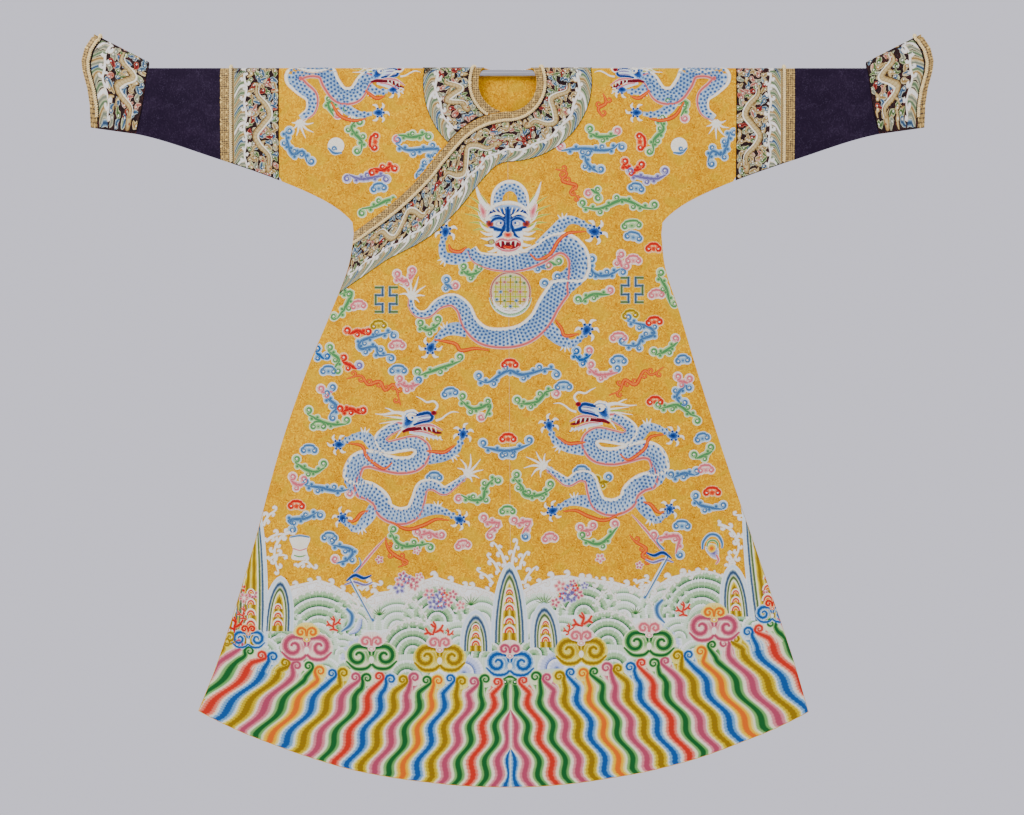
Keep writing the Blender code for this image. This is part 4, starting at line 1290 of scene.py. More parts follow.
cloudsBothSides = [   # below the collar, the same on the front and the back
    ("blue", [(165, 385), (177, 412), (205, 416), (232, 402)]),
    ("green", [(150, 472), (172, 456), (210, 455)]),
    ("green", [(308, 414), (325, 440), (335, 476)]),
    ("blue", [(245, 510), (290, 522), (300, 537), (275, 547), (265, 560), (235, 559)]),
    ("pink", [(165, 605), (187, 620), (226, 615)]),
    ("deepBlue", [(135, 577), (152, 590), (172, 577)]),
    ("green", [(303, 580), (326, 570), (350, 552)]),
    ("blue", [(367, 640), (347, 662), (356, 681)]),
    ("green", [(310, 690), (350, 682), (375, 700), (392, 706)]),
    ("blue", [(45, 404), (62, 396), (80, 403)]),
    ("green", [(74, 386), (102, 395)]),
    ("blue", [(80, 440), (106, 426)]),
    ("blue", [(-62, 630), (-38, 635), (0, 612), (32, 620), (80, 608), (102, 611)]),
    ("green", [(-98, 670), (-70, 690), (-36, 681), (-46, 710)]),
    ("green", [(20, 680), (58, 676), (80, 655), (98, 650)]),
    ("blue", [(-52, 768), (0, 776), (47, 762)]),
    ("green", [(-95, 405), (-76, 415), (-55, 407)]),
    ("blue", [(-130, 432), (-112, 444)]),
    ("green", [(-182, 521), (-160, 528), (-138, 513)]),
    ("green", [(-345, 455), (-320, 450), (-332, 480), (-350, 505)]),
    ("blue", [(-235, 531), (-298, 550), (-300, 567), (-270, 562), (-264, 580), (-240, 578)]),
    ("deepBlue", [(-396, 572), (-376, 588)]),
    ("green", [(-370, 570), (-346, 588), (-355, 607)]),
    ("red", [(-340, 592), (-308, 608)]),
    ("pink", [(-225, 635), (-203, 644), (-180, 638)]),
    ("green", [(-182, 622), (-122, 601), (-95, 591)]),
    ("blue", [(-376, 664), (-350, 685), (-364, 702)]),
    ("green", [(-412, 700), (-370, 720), (-330, 721)]),
    ("red", [(-340, 697), (-322, 690), (-300, 700)]),
    ("pink", [(-230, 421), (-210, 428), (-190, 413)]),
    ("red", [(-326, 537), (-306, 530), (-290, 538)]),
    ("grey", [(-330, 206), (-318, 222), (-308, 232)]),
    ("green", [(-437, 800), (-400, 819), (-374, 810)]),
    ("blue", [(-416, 847), (-385, 851), (-350, 858), (-325, 855)]),
    ("pink", [(-446, 836), (-430, 846), (-415, 842)]),
    ("blue", [(-388, 900), (-413, 914), (-449, 918), (-436, 931)]),
    ("blue", [(-362, 968), (-318, 979), (-328, 999), (-351, 1006)]),
    ("green", [(-241, 940), (-220, 968), (-190, 970), (-160, 965)]),
    ("pink", [(-182, 950), (-160, 944), (-140, 955)]),
    ("green", [(-25, 830), (-44, 850), (-51, 874), (-75, 876), (-96, 866)]),
    ("green", [(12, 830), (30, 850), (36, 866), (66, 866), (92, 851)]),
    ("pink", [(-50, 921), (-16, 925), (-40, 942)]),
    ("pink", [(15, 926), (46, 921), (30, 946)]),
    ("green", [(385, 792), (402, 786), (421, 776)]),
    ("blue", [(338, 832), (362, 822), (386, 826)]),
    ("blue", [(380, 874), (400, 889), (441, 896)]),
    ("pink", [(300, 956), (350, 951), (345, 987)]),
    ("green", [(150, 956), (190, 966), (226, 931)]),
    ("pink", [(150, 941), (176, 937)]),
    ("olive", [(184, 842), (208, 838)]),
    ("pink", [(348, 632), (372, 636)]),
    ("pink", [(-382, 657), (-358, 654)]),
]
twinsBothSides = [
    ("pink", (215, 545), (241, 545)), ("blue", (215, 592), (240, 592)), ("olive", (240, 500), (264, 497)),
    ("blue", (349, 592), (371, 589)), ("red", (290, 676), (315, 676)), ("blue", (389, 754), (411, 748)),
    ("red", (-8, 600), (18, 600)), ("blue", (-130, 661), (-105, 656)), ("blue", (101, 646), (128, 645)),
    ("red", (-12, 752), (14, 752)), ("blue", (-12, 785), (12, 785)), ("pink", (-238, 561), (-214, 560)),
    ("blue", (-380, 613), (-355, 613)), ("blue", (-238, 612), (-210, 612)),
    ("green", (-400, 726), (-376, 726)), ("blue", (-420, 775), (-394, 775)),
    ("red", (-446, 889), (-420, 890)), ("blue", (-377, 954), (-353, 955)),
    ("blue", (-162, 831), (-138, 831)), ("blue", (140, 818), (164, 818)), ("green", (-12, 900), (12, 900)),
    ("pink", (394, 816), (420, 815)), ("red", (406, 862), (434, 862)), ("blue", (344, 930), (371, 931)),
    ("pink", (-318, 480), (-294, 478)), ("red", (288, 514), (314, 511)), ("pink", (294, 457), (318, 455)),
    ("pink", (-102, 972), (-80, 968)), ("pink", (76, 957), (98, 954)), ("olive", (-276, 521), (-252, 519)),
    ("blue", (244, 335), (272, 341)), ("red", (288, 361), (312, 361)), ("pink", (246, 386), (270, 386)),
]
sideClouds = [   # beside the neck, given for the wearer's left and turned over for the right
    ("green", [(165, 123), (190, 132), (226, 128)]),
    ("blue", [(230, 145), (205, 159), (152, 156), (110, 160)]),
    ("blue", [(157, 167), (165, 189), (186, 205)]),
    ("green", [(310, 96), (320, 116), (300, 139), (300, 161)]),
    ("blue", [(456, 121), (450, 149), (440, 168), (420, 161), (411, 184)]),
    ("red", [(236, 189), (255, 200), (276, 197)]),
    ("grey", [(250, 210), (300, 218), (326, 209)]),
    ("green", [(152, 276), (190, 279), (236, 261), (275, 275), (300, 279)]),
    ("pink", [(225, 376), (236, 400)]),
    ("green", [(330, 66), (368, 61), (356, 90)]),
    ("green", [(190, 250), (170, 240)]),
]
sideTwins = [
    ("red", (270, 128), (273, 156)), ("green", (238, 316), (272, 312)), ("blue", (252, 236), (276, 240)),
]
flames = [   # thin fire lines that trail from a curl
    [(-330, 628), (-300, 622), (-286, 640), (-262, 634), (-250, 652), (-232, 640), (-219, 682)],
    [(320, 604), (296, 620), (280, 612), (262, 640), (240, 630), (230, 652), (208, 662)],
    [(-210, 42), (-216, 60), (-196, 66), (-204, 84)],
    [(196, 42), (202, 62), (186, 74), (196, 92)],
    [(98, 198), (122, 206), (112, 222), (142, 232), (128, 246), (150, 256)],
    [(250, 948), (262, 962), (284, 976), (276, 992), (310, 1004)],
    [(-250, 952), (-244, 976), (-226, 992), (-204, 1004), (-224, 1014)],
]


def cloudy(work):
    for tone, points in cloudsBothSides:
        scroll(work, tone, points)
    for tone, a, b in twinsBothSides:
        twin(work, tone, a, b)
    for points in flames:
        line = work.ribbon(points, (2.5, 6.5, 8.5, 6.5, 2.5), "flame", 0.36, 0.10, 4.0)
        side = sideways(line)
        for k, mark in enumerate(range(4, len(line) - 2, 5)):
            hand = 1 if k % 2 else -1
            centre = line[mark] + side[mark] * hand * 6.5
            path = spiral(*centre, 6.5, rootAngle(side[mark], hand), 0.9, hand, 0.35)
            work.ribbon(path, (5.6, 5.0, 3.0), "flame", 0.40, 0.20, 3.2)


# dragons

class Stamp:
    # Draws on a Needlework about a place of its own, turned, flipped and sized.

    def __init__(self, work, x, y, angle=0.0, flip=1, size=1.0):
        self.work, self.x, self.y = work, x, y
        self.angle, self.flip, self.size = angle, flip, size

    def spot(self, points):
        p = np.array(points, float).reshape(-1, 2) * self.size
        p[:, 0] *= self.flip
        cos, sin = math.cos(self.angle), math.sin(self.angle)
        return np.stack([self.x + p[:, 0] * cos - p[:, 1] * sin, self.y + p[:, 0] * sin + p[:, 1] * cos], -1)

    def ribbon(self, points, widths, tone, height=0.36, foot=0.10, step=3.5, full=False):
        return self.work.ribbon(self.spot(points), np.atleast_1d(widths) * self.size, tone, height, foot,
                                step, full)

    def disc(self, x, y, rx, ry, tone, height=0.40, foot=0.12, angle=0.0):
        cx, cy = self.spot([(x, y)])[0]
        turned = (angle if self.flip > 0 else -angle) + self.angle
        self.work.disc(cx, cy, rx * self.size, ry * self.size, tone, turned, height, foot, 3.0)

    def blob(self, rim, tone, height=0.40, foot=0.12):
        self.work.blob(self.spot(rim), tone, height, foot, 3.5)

    def both(self, draw):
        # Draws a thing here and its mirror image.
        for flip in (1, -1):
            draw(Stamp(self.work, self.x, self.y, self.angle, flip * self.flip, self.size))


scaleShape = {"pitch": 7.7, "size": 4.4, "dome": 0.07}


class ScaleField:
    # Gathers where each scale of the dragons goes.

    def __init__(self, work):
        self.work = work
        self.rows = []

    def cover(self, line, widths, height, foot):
        side = sideways(line)
        far = np.concatenate([[0], np.cumsum(np.hypot(*np.diff(line, axis=0).T))])
        pitch = scaleShape["pitch"]
        for k in range(int(far[-1] / pitch)):
            at = (k + 0.5) * pitch
            centre = np.array([np.interp(at, far, line[:, c]) for c in (0, 1)])
            out = np.array([np.interp(at, far, side[:, c]) for c in (0, 1)])
            width = float(np.interp(at, far, widths)) - 5.0
            count = max(1, int(width / pitch))
            for j in range(count + (k % 2 == 0)):
                t = (j - (count + (k % 2 == 0) - 1) / 2) * pitch
                share = abs(t) / max(1.0, width / 2 + 2.5)
                spot = centre + out * t
                lift = foot + (height - foot) * (1.0 - 0.25 * share) + 0.02
                self.rows.append((spot[0], spot[1], lift, -out[1], out[0],
                                  scaleShape["size"] * (0.9 + 0.1 * (count > 3))))

    def finish(self, name):
        rows = np.array(self.rows)
        if self.work.keeps is not None:
            rows = rows[self.work.keeps(rows[:, 0], rows[:, 1])]
        x, y, lift, ax, ay, size = rows.T
        here = self.work.place(x, y, lift)
        ahead = self.work.place(x + ax, y + ay, lift) - here
        out = self.work.place(x, y, lift + 1.0) - here
        mesh = bpy.data.meshes.new(name + "Spots")
        mesh.from_pydata(here.tolist(), [], [])
        for label, values in (("ahead", ahead), ("out", out)):
            layer = mesh.attributes.new(label, "FLOAT_VECTOR", "POINT")
            layer.data.foreach_set("vector", values.astype(np.float32).ravel())
        layer = mesh.attributes.new("size", "FLOAT", "POINT")
        layer.data.foreach_set("value", (size / 1000).astype(np.float32))
        spots = addObject(name + "Spots", mesh)
        made = treeResult(name, spots, scaleTree, Scale_Shape=scaleShapeObject, Finish=threadSilk)
        print(name, len(rows), "scales")
        return finishPiece(made)


def oneScale():
    # A scale one unit across its half width: six stitches fanned from a raised middle.
    angles = [math.radians(a) for a in (0, 60, 120, 180, 240, 300)]
    points = [(math.cos(a) * 1.05, math.sin(a), 0.0) for a in angles]
    points.append((0.1, 0.0, scaleShape["dome"] * 0.3))
    faces = [(k, (k + 1) % 6, 6) for k in range(6)]
    column = toneColumn["scale"]
    u = [(column + share) / len(toneNames) for share in (0.2, 0.8, 0.5)]
    uvs = [place for k in range(6) for place in ((u[k % 2], 0.10), (u[(k + 1) % 2], 0.10), (u[2], 0.5))]
    shape = objectFrom("oneScale", points, faces, threadSilk, uvs)
    bpy.context.collection.objects.unlink(shape)
    return shape


def buildScaleTree():
    # Geometry Nodes: a scale on each spot, turned along the body and lying on the cloth.
    given = newTree("dragonScales", (("Spots", "Geometry", None), ("Scale Shape", "Object", None),
                                     ("Finish", "Material", None)), "Scales")
    spots = given["Spots"]

    def named(label, kind):
        return spots.node("GeometryNodeInputNamedAttribute", "Attribute", {"data_type": kind}, Name=label)

    def aligned(vector, settings, **start):
        return spots.node("FunctionNodeAlignRotationToVector", 0, settings, Vector=vector, **start)

    shape = spots.node("GeometryNodeObjectInfo", "Geometry", None, Object=given["Scale Shape"])
    upright = aligned(named("out", "FLOAT_VECTOR"), {"axis": "Z"})
    turned = aligned(named("ahead", "FLOAT_VECTOR"), {"axis": "X", "pivot_axis": "Z"}, Rotation=upright)
    placed = spots.node("GeometryNodeInstanceOnPoints", 0, None, Points=spots, Instance=shape,
                        Rotation=turned, Scale=named("size", "FLOAT"))
    return closeTree(placed, given["Finish"])


scaleShapeObject = oneScale()
scaleTree = buildScaleTree()


def sidePath(line, widths, signs):
    # A line along one side of a body; signs are (place along, +1 right or -1 left).
    t = np.linspace(0, 1, len(line))
    sign = np.interp(t, [s[0] for s in signs], [s[1] for s in signs])
    return line + sideways(line) * (sign * widths * 0.46)[:, None]


def dragonBody(work, scales, points, widths, ridge, belly=True):
    line = smoothLine(points, 4.2)
    wide = profile(widths, len(line))
    side = sideways(line) * (wide / 2)[:, None]
    work.strip(line - side, line + side, "scale", 0.34, 0.10, True, (0.0, 0.11))
    scales.cover(line, wide, 0.34, 0.10)
    work.ribbon(sidePath(line, wide, ridge), (4.0, 7.0, 7.2, 7.0, 3.0), "horn", 0.52, 0.34, 4.2)
    if belly:
        front = sidePath(line, wide, [(a, -b) for a, b in ridge])
        work.ribbon(front, (3.0, 7.5, 8.0, 7.5, 2.5), "belly", 0.48, 0.32, 4.2)


def leg(work, scales, points, widths, fire):
    line = smoothLine(points, 4.2)
    wide = profile(widths, len(line)) * (1 - 0.32 * smooth((np.linspace(0, 1, len(line)) - 0.35) / 0.5))
    side = sideways(line) * (wide / 2)[:, None]
    work.strip(line - side, line + side, "scale", 0.37, 0.15, True, (0.0, 0.11))
    scales.cover(line, wide, 0.37, 0.15)
    work.ribbon(fire, (3.0, 7.0, 8.0, 7.0, 2.5), "flame", 0.62, 0.48, 4.0)
    elbow, thick = line[len(line) // 2], wide[len(line) // 2]
    out = elbow - (line[0] + line[-1]) / 2
    size = max(1e-6, math.hypot(*out))
    if size > 3:
        for turn in (-0.5, 0.0, 0.5):
            cos, sin = math.cos(turn), math.sin(turn)
            ahead = np.array([out[0] * cos - out[1] * sin, out[0] * sin + out[1] * cos]) / size
            spur = [elbow + ahead * thick * 0.35, elbow + ahead * (thick * 0.5 + 9)]
            work.ribbon(spur, (6.0, 1.2), "horn", 0.38, 0.12, 3.5)


def paw(work, x, y, ahead, size):
    # A blue foot with five pale claws spread round it.
    stamp = Stamp(work, x, y, ahead, 1, size)
    for spread in (-112, -58, 0, 58, 112):
        turn = math.radians(spread)
        bend = turn + (0.30 if spread >= 0 else -0.30)
        cos, sin = math.cos(turn), math.sin(turn)
        stamp.ribbon([(0, 0), (cos * 14, sin * 13)], (7.0, 5.5), "face", 0.50, 0.30)
        claw = [(cos * 12.5, sin * 12), (cos * 19, sin * 18), (math.cos(bend) * 24.5, math.sin(bend) * 23)]
        stamp.ribbon(claw, (5.6, 6.4, 1.6), "horn", 0.54, 0.34, 3.0)
    stamp.blob([(-16, 0), (-8, -7), (2, -9), (9, -5), (10, 0), (9, 5), (2, 9), (-8, 7)], "face", 0.60, 0.34)


def tuft(work, x, y, ahead, size):
    for spread, reach in ((-74, 24), (-52, 36), (-30, 46), (-8, 46), (14, 38), (36, 28), (62, 18)):
        turn = ahead + math.radians(spread)
        bend = turn + math.radians(spread * 0.35)
        lock = [(x, y), off(x, y, reach * size * 0.55, turn), off(x, y, reach * size, bend)]
        work.ribbon(lock, (7.0, 5.0, 1.2), "horn", 0.50, 0.30, 4.0)


def frontHead(work, x, y):
    # A dragon's face seen from the front, placed by its nose.
    head = Stamp(work, x, y)

    def mane(half):
        for bx, by, tx, ty in ((38, -52, 62, -88), (44, -48, 80, -78), (46, -38, 88, -60),
                               (46, -28, 88, -42), (46, -18, 80, -24), (42, -8, 72, -8)):
            lock = [(bx, by), (lerp(bx, tx, 0.5), lerp(by, ty, 0.5) - 3), (tx, ty)]
            half.ribbon(lock, (6.0, 5.0, 0.9), "mane", 0.30, 0.10)

    def horn(half):
        half.ribbon([(36, -50), (50, -64), (60, -82), (68, -108)], (16, 12, 7, 1.4), "horn", 0.46, 0.16)

    def ear(half):
        half.blob([(42, -46), (58, -68), (60, -54), (54, -34), (46, -28)], "pink", 0.44, 0.14)
        half.ribbon([(44, -24), (56, -34), (62, -48)], (6, 4, 1), "horn", 0.42, 0.14)

    head.both(mane)
    head.both(horn)
    head.both(ear)
    head.blob([(-43, -46), (-30, -58), (0, -63), (30, -58), (43, -46), (47, -28), (37, -12), (31, 4),
               (30, 24), (20, 38), (0, 43), (-20, 38), (-30, 24), (-31, 4), (-37, -12), (-47, -28)], "skin",
              0.44, 0.20)
    head.blob([(-36, -54), (0, -60), (36, -54), (40, -36), (24, -26), (10, -14), (9, 0), (-9, 0), (-10, -14),
               (-24, -26), (-40, -36)], "face", 0.54, 0.40)
    for k in range(-4, 5):
        head.ribbon([(k * 10.0, -57 + abs(k) * 2.2), (k * 8.2, -44), (k * 4.6, -31 - abs(k) * 1.5)],
                    (9.5, 10.5, 5), "face", 0.56, 0.42)
    head.ribbon([(0, -50), (0, -30), (0, -12), (0, 2)], (13, 12, 9, 13), "face", 0.62, 0.46, 3.5, True)
    for k in (-3, -2, -1, 1, 2, 3):
        head.ribbon([(k * 9.6, -56 + abs(k)), (k * 6.4, -42)], (3.4, 1.2), "horn", 0.64, 0.54)
    head.ribbon([(-45, -38), (-28, -58), (0, -65), (28, -58), (45, -38)], (3, 7, 7.5, 7, 3), "horn", 0.62,
                0.46)

    def features(half):
        half.ribbon([(9, -34), (8, -18), (11, -4), (19, 5), (25, 6)], (8, 9, 11, 8, 2), "face", 0.58, 0.46)
        half.ribbon([(10, -8), (22, -10), (34, -15), (44, -27)], (7, 10, 10, 5), "face", 0.585, 0.46)
        half.disc(17, -22, 11.5, 7.5, "grey", 0.62, 0.46, 0.15)
        half.disc(17, -22, 8.0, 5.0, "cream", 0.66, 0.54, 0.15)
        half.disc(15, -23, 3.4, 3.8, "face", 0.72, 0.60)
        half.ribbon([(6, -27), (16, -33), (28, -31), (36, -23)], (5, 8, 8, 4), "face", 0.68, 0.52)
        half.ribbon([(8, -37), (20, -43), (34, -40), (46, -28)], (4, 6, 6, 3), "horn", 0.66, 0.52)
        half.blob([(30, -25), (40, -29), (45, -23), (41, -15), (31, -16)], "wine", 0.64, 0.50)
        for points in ([(30, -10), (41, -9), (52, -16), (58, -26)], [(31, -2), (43, 0), (57, -6)],
                       [(29, 8), (42, 10), (56, 8)], [(27, 20), (38, 23), (48, 22)],
                       [(23, 30), (33, 35), (42, 36)]):
            half.ribbon(points, (8, 8, 5, 1), "horn", 0.58, 0.46)

    head.both(features)
    for beardX in (-18, -9, 0, 9, 18):
        head.ribbon([(beardX, 34), (beardX * 1.15, 41), (beardX * 1.35, 48 - abs(beardX) * 0.2)],
                    (8.5, 7, 1), "horn", 0.54, 0.36)
    head.blob([(-25, 15), (-12, 9), (0, 12), (12, 9), (25, 15), (26, 24), (14, 32), (0, 33), (-14, 32),
               (-26, 24)],
              "darkRed", 0.60, 0.46)
    head.ribbon([(-26, 17), (-14, 10), (0, 13), (14, 10), (26, 17)], (4, 7, 8, 7, 4), "pink", 0.70, 0.56)
    head.ribbon([(-24, 25), (-13, 32), (0, 34), (13, 32), (24, 25)], (3, 5.5, 6, 5.5, 3), "pink", 0.66, 0.52)
    head.ribbon([(-9, 24), (0, 27), (9, 24)], (5, 8, 5), "red", 0.66, 0.56)
    for fang, low in ((-16, 25), (-6, 21), (6, 21), (16, 25)):
        head.ribbon([(fang, 14), (fang * 0.92, low)], (4.6, 1.2), "cream", 0.74, 0.62)
    head.blob([(-11, -1), (-7, -6), (0, -4), (7, -6), (11, -1), (9, 6), (0, 9), (-9, 6)], "deepRed", 0.74,
              0.58)
    head.disc(-34, 16, 7, 7, "gold", 0.68, 0.52)
    head.disc(-34, 16, 3.6, 3.6, "mane", 0.72, 0.60)


def sideHead(work, x, y, flip, size, angle):
    # A dragon's face seen from the side, looking right where flip is 1; placed by its eye.
    head = Stamp(work, x, y, angle, flip, size)
    for k, (ty, tx) in enumerate(((-10, -58), (-2, -66), (6, -66), (14, -62), (22, -54), (30, -44),
                                  (36, -32))):
        head.ribbon([(-10, lerp(-4, 12, k / 6)), (lerp(-10, tx, 0.5), lerp(4, ty, 0.6) - 3), (tx, ty)],
                    (5.0, 4.0, 0.9), "mane" if k % 2 else "horn", 0.34, 0.10)
    head.ribbon([(-8, -12), (-30, -17), (-56, -13), (-74, -14)], (10, 7, 4.5, 1.2), "horn", 0.46, 0.16)
    head.ribbon([(-34, -17), (-46, -24), (-54, -26)], (5, 3.5, 1), "horn", 0.44, 0.16)
    head.ribbon([(-18, 6), (-30, 4), (-38, 8)], (9, 6, 1), "pink", 0.48, 0.18)
    head.blob([(-20, -6), (-12, -20), (4, -22), (18, -16), (36, -20), (46, -12), (46, -2), (34, 2), (20, 6),
               (8, 16), (-8, 20), (-22, 14)], "skin", 0.44, 0.20)
    head.blob([(-16, 4), (-12, -14), (2, -20), (12, -16), (8, -4), (2, 8), (-10, 16), (-18, 12)], "face",
              0.54, 0.38)
    head.ribbon([(2, -11), (18, -13), (34, -16), (43, -9), (39, -1), (22, 3), (4, 9)], (9, 9, 9, 8, 8, 8, 5),
                "face", 0.54, 0.38)
    head.ribbon([(-10, -18), (4, -21), (14, -15)], (4, 6, 3), "horn", 0.58, 0.40)
    for points in ([(14, -6), (25, -9), (38, -10)], [(12, 2), (24, -2), (38, -4)]):
        head.ribbon(points, (2.4, 4.4, 3.4), "grey", 0.54, 0.44)
    head.disc(0, -6, 8.0, 5.6, "horn", 0.64, 0.52, 0.15)
    head.disc(2, -6, 3.4, 3.4, "face", 0.70, 0.60)
    head.ribbon([(-10, -9), (-2, -14), (10, -12)], (3, 5.5, 3), "horn", 0.68, 0.54)
    head.ribbon([(-4, 24), (14, 25), (32, 29), (50, 35), (58, 36)], (5, 9, 9.5, 7, 2), "skin", 0.50, 0.34)
    head.ribbon([(-18, 23), (-6, 18), (8, 17), (24, 15), (40, 18), (52, 24), (62, 25)],
                (5, 8, 10, 10, 9, 8, 3), "darkRed", 0.56, 0.42)
    head.ribbon([(8, 12), (24, 9), (40, 9), (52, 14), (64, 20)], (3, 6, 7, 6, 2), "pink", 0.62, 0.48)
    head.ribbon([(4, 23), (20, 22), (36, 26), (50, 32)], (3, 5, 5, 2), "pink", 0.60, 0.46)
    for k in range(4):
        head.ribbon([(22 + 9 * k, 13), (24 + 9 * k, 20 + k)], (4.0, 1.0), "cream", 0.66, 0.54)
    for k in range(5):
        head.ribbon([(26 + 8 * k, 28 + k), (28 + 8 * k, 34 + k), (28 + 9 * k, 40)], (5.5, 4.5, 0.9), "horn",
                    0.48, 0.26)
    head.disc(46, -16, 6.0, 5.0, "darkRed", 0.62, 0.44)
    head.ribbon([(46, -18), (54, -30), (46, -40), (32, -38), (22, -44), (10, -50)], (5, 5, 4.6, 4.4, 3.4, 1),
                "horn", 0.46, 0.16)
    head.ribbon([(50, 0), (62, -4), (72, -12), (84, -18), (97, -17)], (5, 4.2, 3.6, 3, 0.9), "horn", 0.44,
                0.16)


def mirrored(flip, across=0.0, rise=0.0):
    # Helpers that turn places and directions over for a mirror image.
    def turned(points):
        return [(x, y) if flip > 0 else (across - x, y - rise) for x, y in points]

    def aim(degrees):
        return math.radians(degrees if flip > 0 else 180 - degrees)

    return turned, aim


def limbs(work, scales, rows, turned, aim):
    # Each row: a leg's places and widths, the fire along it, its foot's place, direction and size.
    for points, widths, fire, foot, degrees, size in rows:
        leg(work, scales, turned(points), widths, turned(fire))
        paw(work, *turned([foot])[0], aim(degrees), size)


chestWork = {   # the dragon's places on the cloth, in millimetres
    "arch": [(-22, 292), (-21, 258), (-12, 240), (5, 233), (22, 240), (31, 258), (33, 292)],
    "body": [(-74, 362), (-60, 381), (-20, 390), (25, 388), (66, 372), (98, 352), (124, 354), (144, 376),
             (144, 408), (112, 438), (86, 474), (66, 510), (34, 536), (-6, 545), (-48, 540), (-76, 516),
             (-90, 484), (-112, 467), (-140, 474), (-162, 494), (-182, 496), (-196, 482), (-198, 464)],
    "widths": (20, 34, 40, 42, 44, 44, 45, 45, 44, 42, 38, 32, 24, 16, 10),
    "ridge": [(0, -1), (0.38, -1), (0.44, 1), (1, 1)],
    "limbs": [
        ([(66, 358), (96, 328), (118, 306), (140, 304), (176, 322)], (26, 26, 25, 18, 12),
         [(46, 372), (62, 384), (88, 372), (104, 346), (124, 330), (160, 326)], (180, 327), 10, 1.15),
        ([(-74, 372), (-104, 382), (-128, 378), (-134, 356), (-128, 329)], (26, 25, 22, 18, 12),
         [(-84, 358), (-98, 368), (-116, 364), (-120, 352)], (-127, 325), -82, 1.05),
        ([(-84, 528), (-112, 526), (-134, 536), (-155, 560)], (30, 26, 19, 12),
         [(-150, 548), (-108, 556), (-96, 570), (-66, 566), (-38, 570)], (-158, 566), 120, 1.05),
        ([(80, 522), (106, 546), (132, 556), (162, 534)], (32, 27, 19, 12),
         [(98, 508), (110, 524), (118, 540), (146, 536)], (163, 527), -60, 1.1),
    ],
}
sideWork = {   # for the one left of the middle as seen, which looks right
    "body": [(-222, 724), (-246, 736), (-260, 752), (-246, 768), (-220, 764), (-190, 760), (-173, 776),
             (-188, 800), (-220, 806), (-252, 800), (-284, 792), (-308, 800), (-318, 826), (-306, 850),
             (-280, 860), (-260, 876), (-250, 898), (-222, 910), (-194, 902), (-183, 878), (-174, 850),
             (-152, 846), (-130, 858), (-110, 846), (-86, 828)],
    "widths": (20, 24, 26, 30, 33, 34, 35, 36, 36, 36, 35, 34, 28, 22, 16, 8),
    "limbs": [
        ([(-252, 786), (-276, 762), (-292, 746), (-316, 748), (-345, 762)], (24, 24, 22, 16, 11),
         [(-326, 760), (-298, 766), (-286, 790), (-254, 812), (-236, 800)], (-347, 763), 175, 0.95),
        ([(-164, 792), (-130, 786), (-104, 774), (-92, 745)], (24, 23, 18, 11),
         [(-166, 776), (-146, 778), (-128, 778), (-108, 764)], (-91, 740), -80, 0.95),
        ([(-272, 892), (-290, 918), (-312, 936), (-337, 916)], (26, 23, 17, 11),
         [(-284, 898), (-300, 904), (-312, 918), (-328, 920)], (-338, 913), -110, 0.95),
        ([(-190, 904), (-158, 896), (-130, 900), (-101, 915)], (28, 24, 17, 11),
         [(-240, 920), (-206, 936), (-172, 928), (-146, 916), (-120, 918)], (-97, 917), 20, 0.95),
    ],
}
shoulderWork = {   # for the left as seen
    "body": [(-268, 2), (-292, 14), (-312, 44), (-342, 46), (-362, 22), (-376, -4), (-410, -8), (-440, 8),
             (-424, 30), (-402, 50), (-404, 78), (-424, 94)],
    "widths": (26, 30, 34, 36, 36, 36, 34, 32, 28, 22, 14),
    "limbs": [
        ([(-344, 52), (-328, 76), (-300, 86), (-278, 84)], (26, 22, 17, 12),
         [(-362, 60), (-344, 88), (-316, 98), (-290, 94)], (-263, 82), 0, 0.9),
        ([(-300, 20), (-270, 38), (-246, 38)], (24, 18, 12),
         [(-292, 36), (-270, 52), (-252, 48)], (-233, 34), -10, 0.85),
    ],
}


def chestDragon(work, scales):
    # the neck's arch over the head, the body under the chin and the long loop down to the tail
    dragonBody(work, scales, chestWork["arch"], (22, 21, 20, 21, 22), [(0, -1), (1, -1)], False)
    dragonBody(work, scales, chestWork["body"], chestWork["widths"], chestWork["ridge"])
    tuft(work, -198, 464, math.radians(-60), 1.05)
    limbs(work, scales, chestWork["limbs"], *mirrored(1))
    frontHead(work, 1, 332)


def sideDragon(work, scales, flip):
    # A striding dragon; the other is its mirror image, a little higher and nearer the middle.
    turned, aim = mirrored(flip, -6.0, 18.0)
    dragonBody(work, scales, turned(sideWork["body"]), sideWork["widths"],
               [(0, flip), (0.51, flip), (0.56, -flip), (1, -flip)])
    tuft(work, *turned([(-85, 827)])[0], aim(-38), 1.0)
    limbs(work, scales, sideWork["limbs"], turned, aim)
    sideHead(work, *turned([(-197, 714)])[0], flip, 1.0, 0.0)


def shoulderDragon(work, scales, flip):
    # The dragon that lies over a shoulder.
    turned, aim = mirrored(flip)
    dragonBody(work, scales, turned(shoulderWork["body"]), shoulderWork["widths"], [(0, flip), (1, flip)])
    tuft(work, *turned([(-428, 98)])[0], aim(80), 0.85)
    limbs(work, scales, shoulderWork["limbs"], turned, aim)
    sideHead(work, *turned([(-262, 2)])[0], flip, 0.85, math.radians(8 * flip))


# the skirt: mountains, billows and the slanting stripes

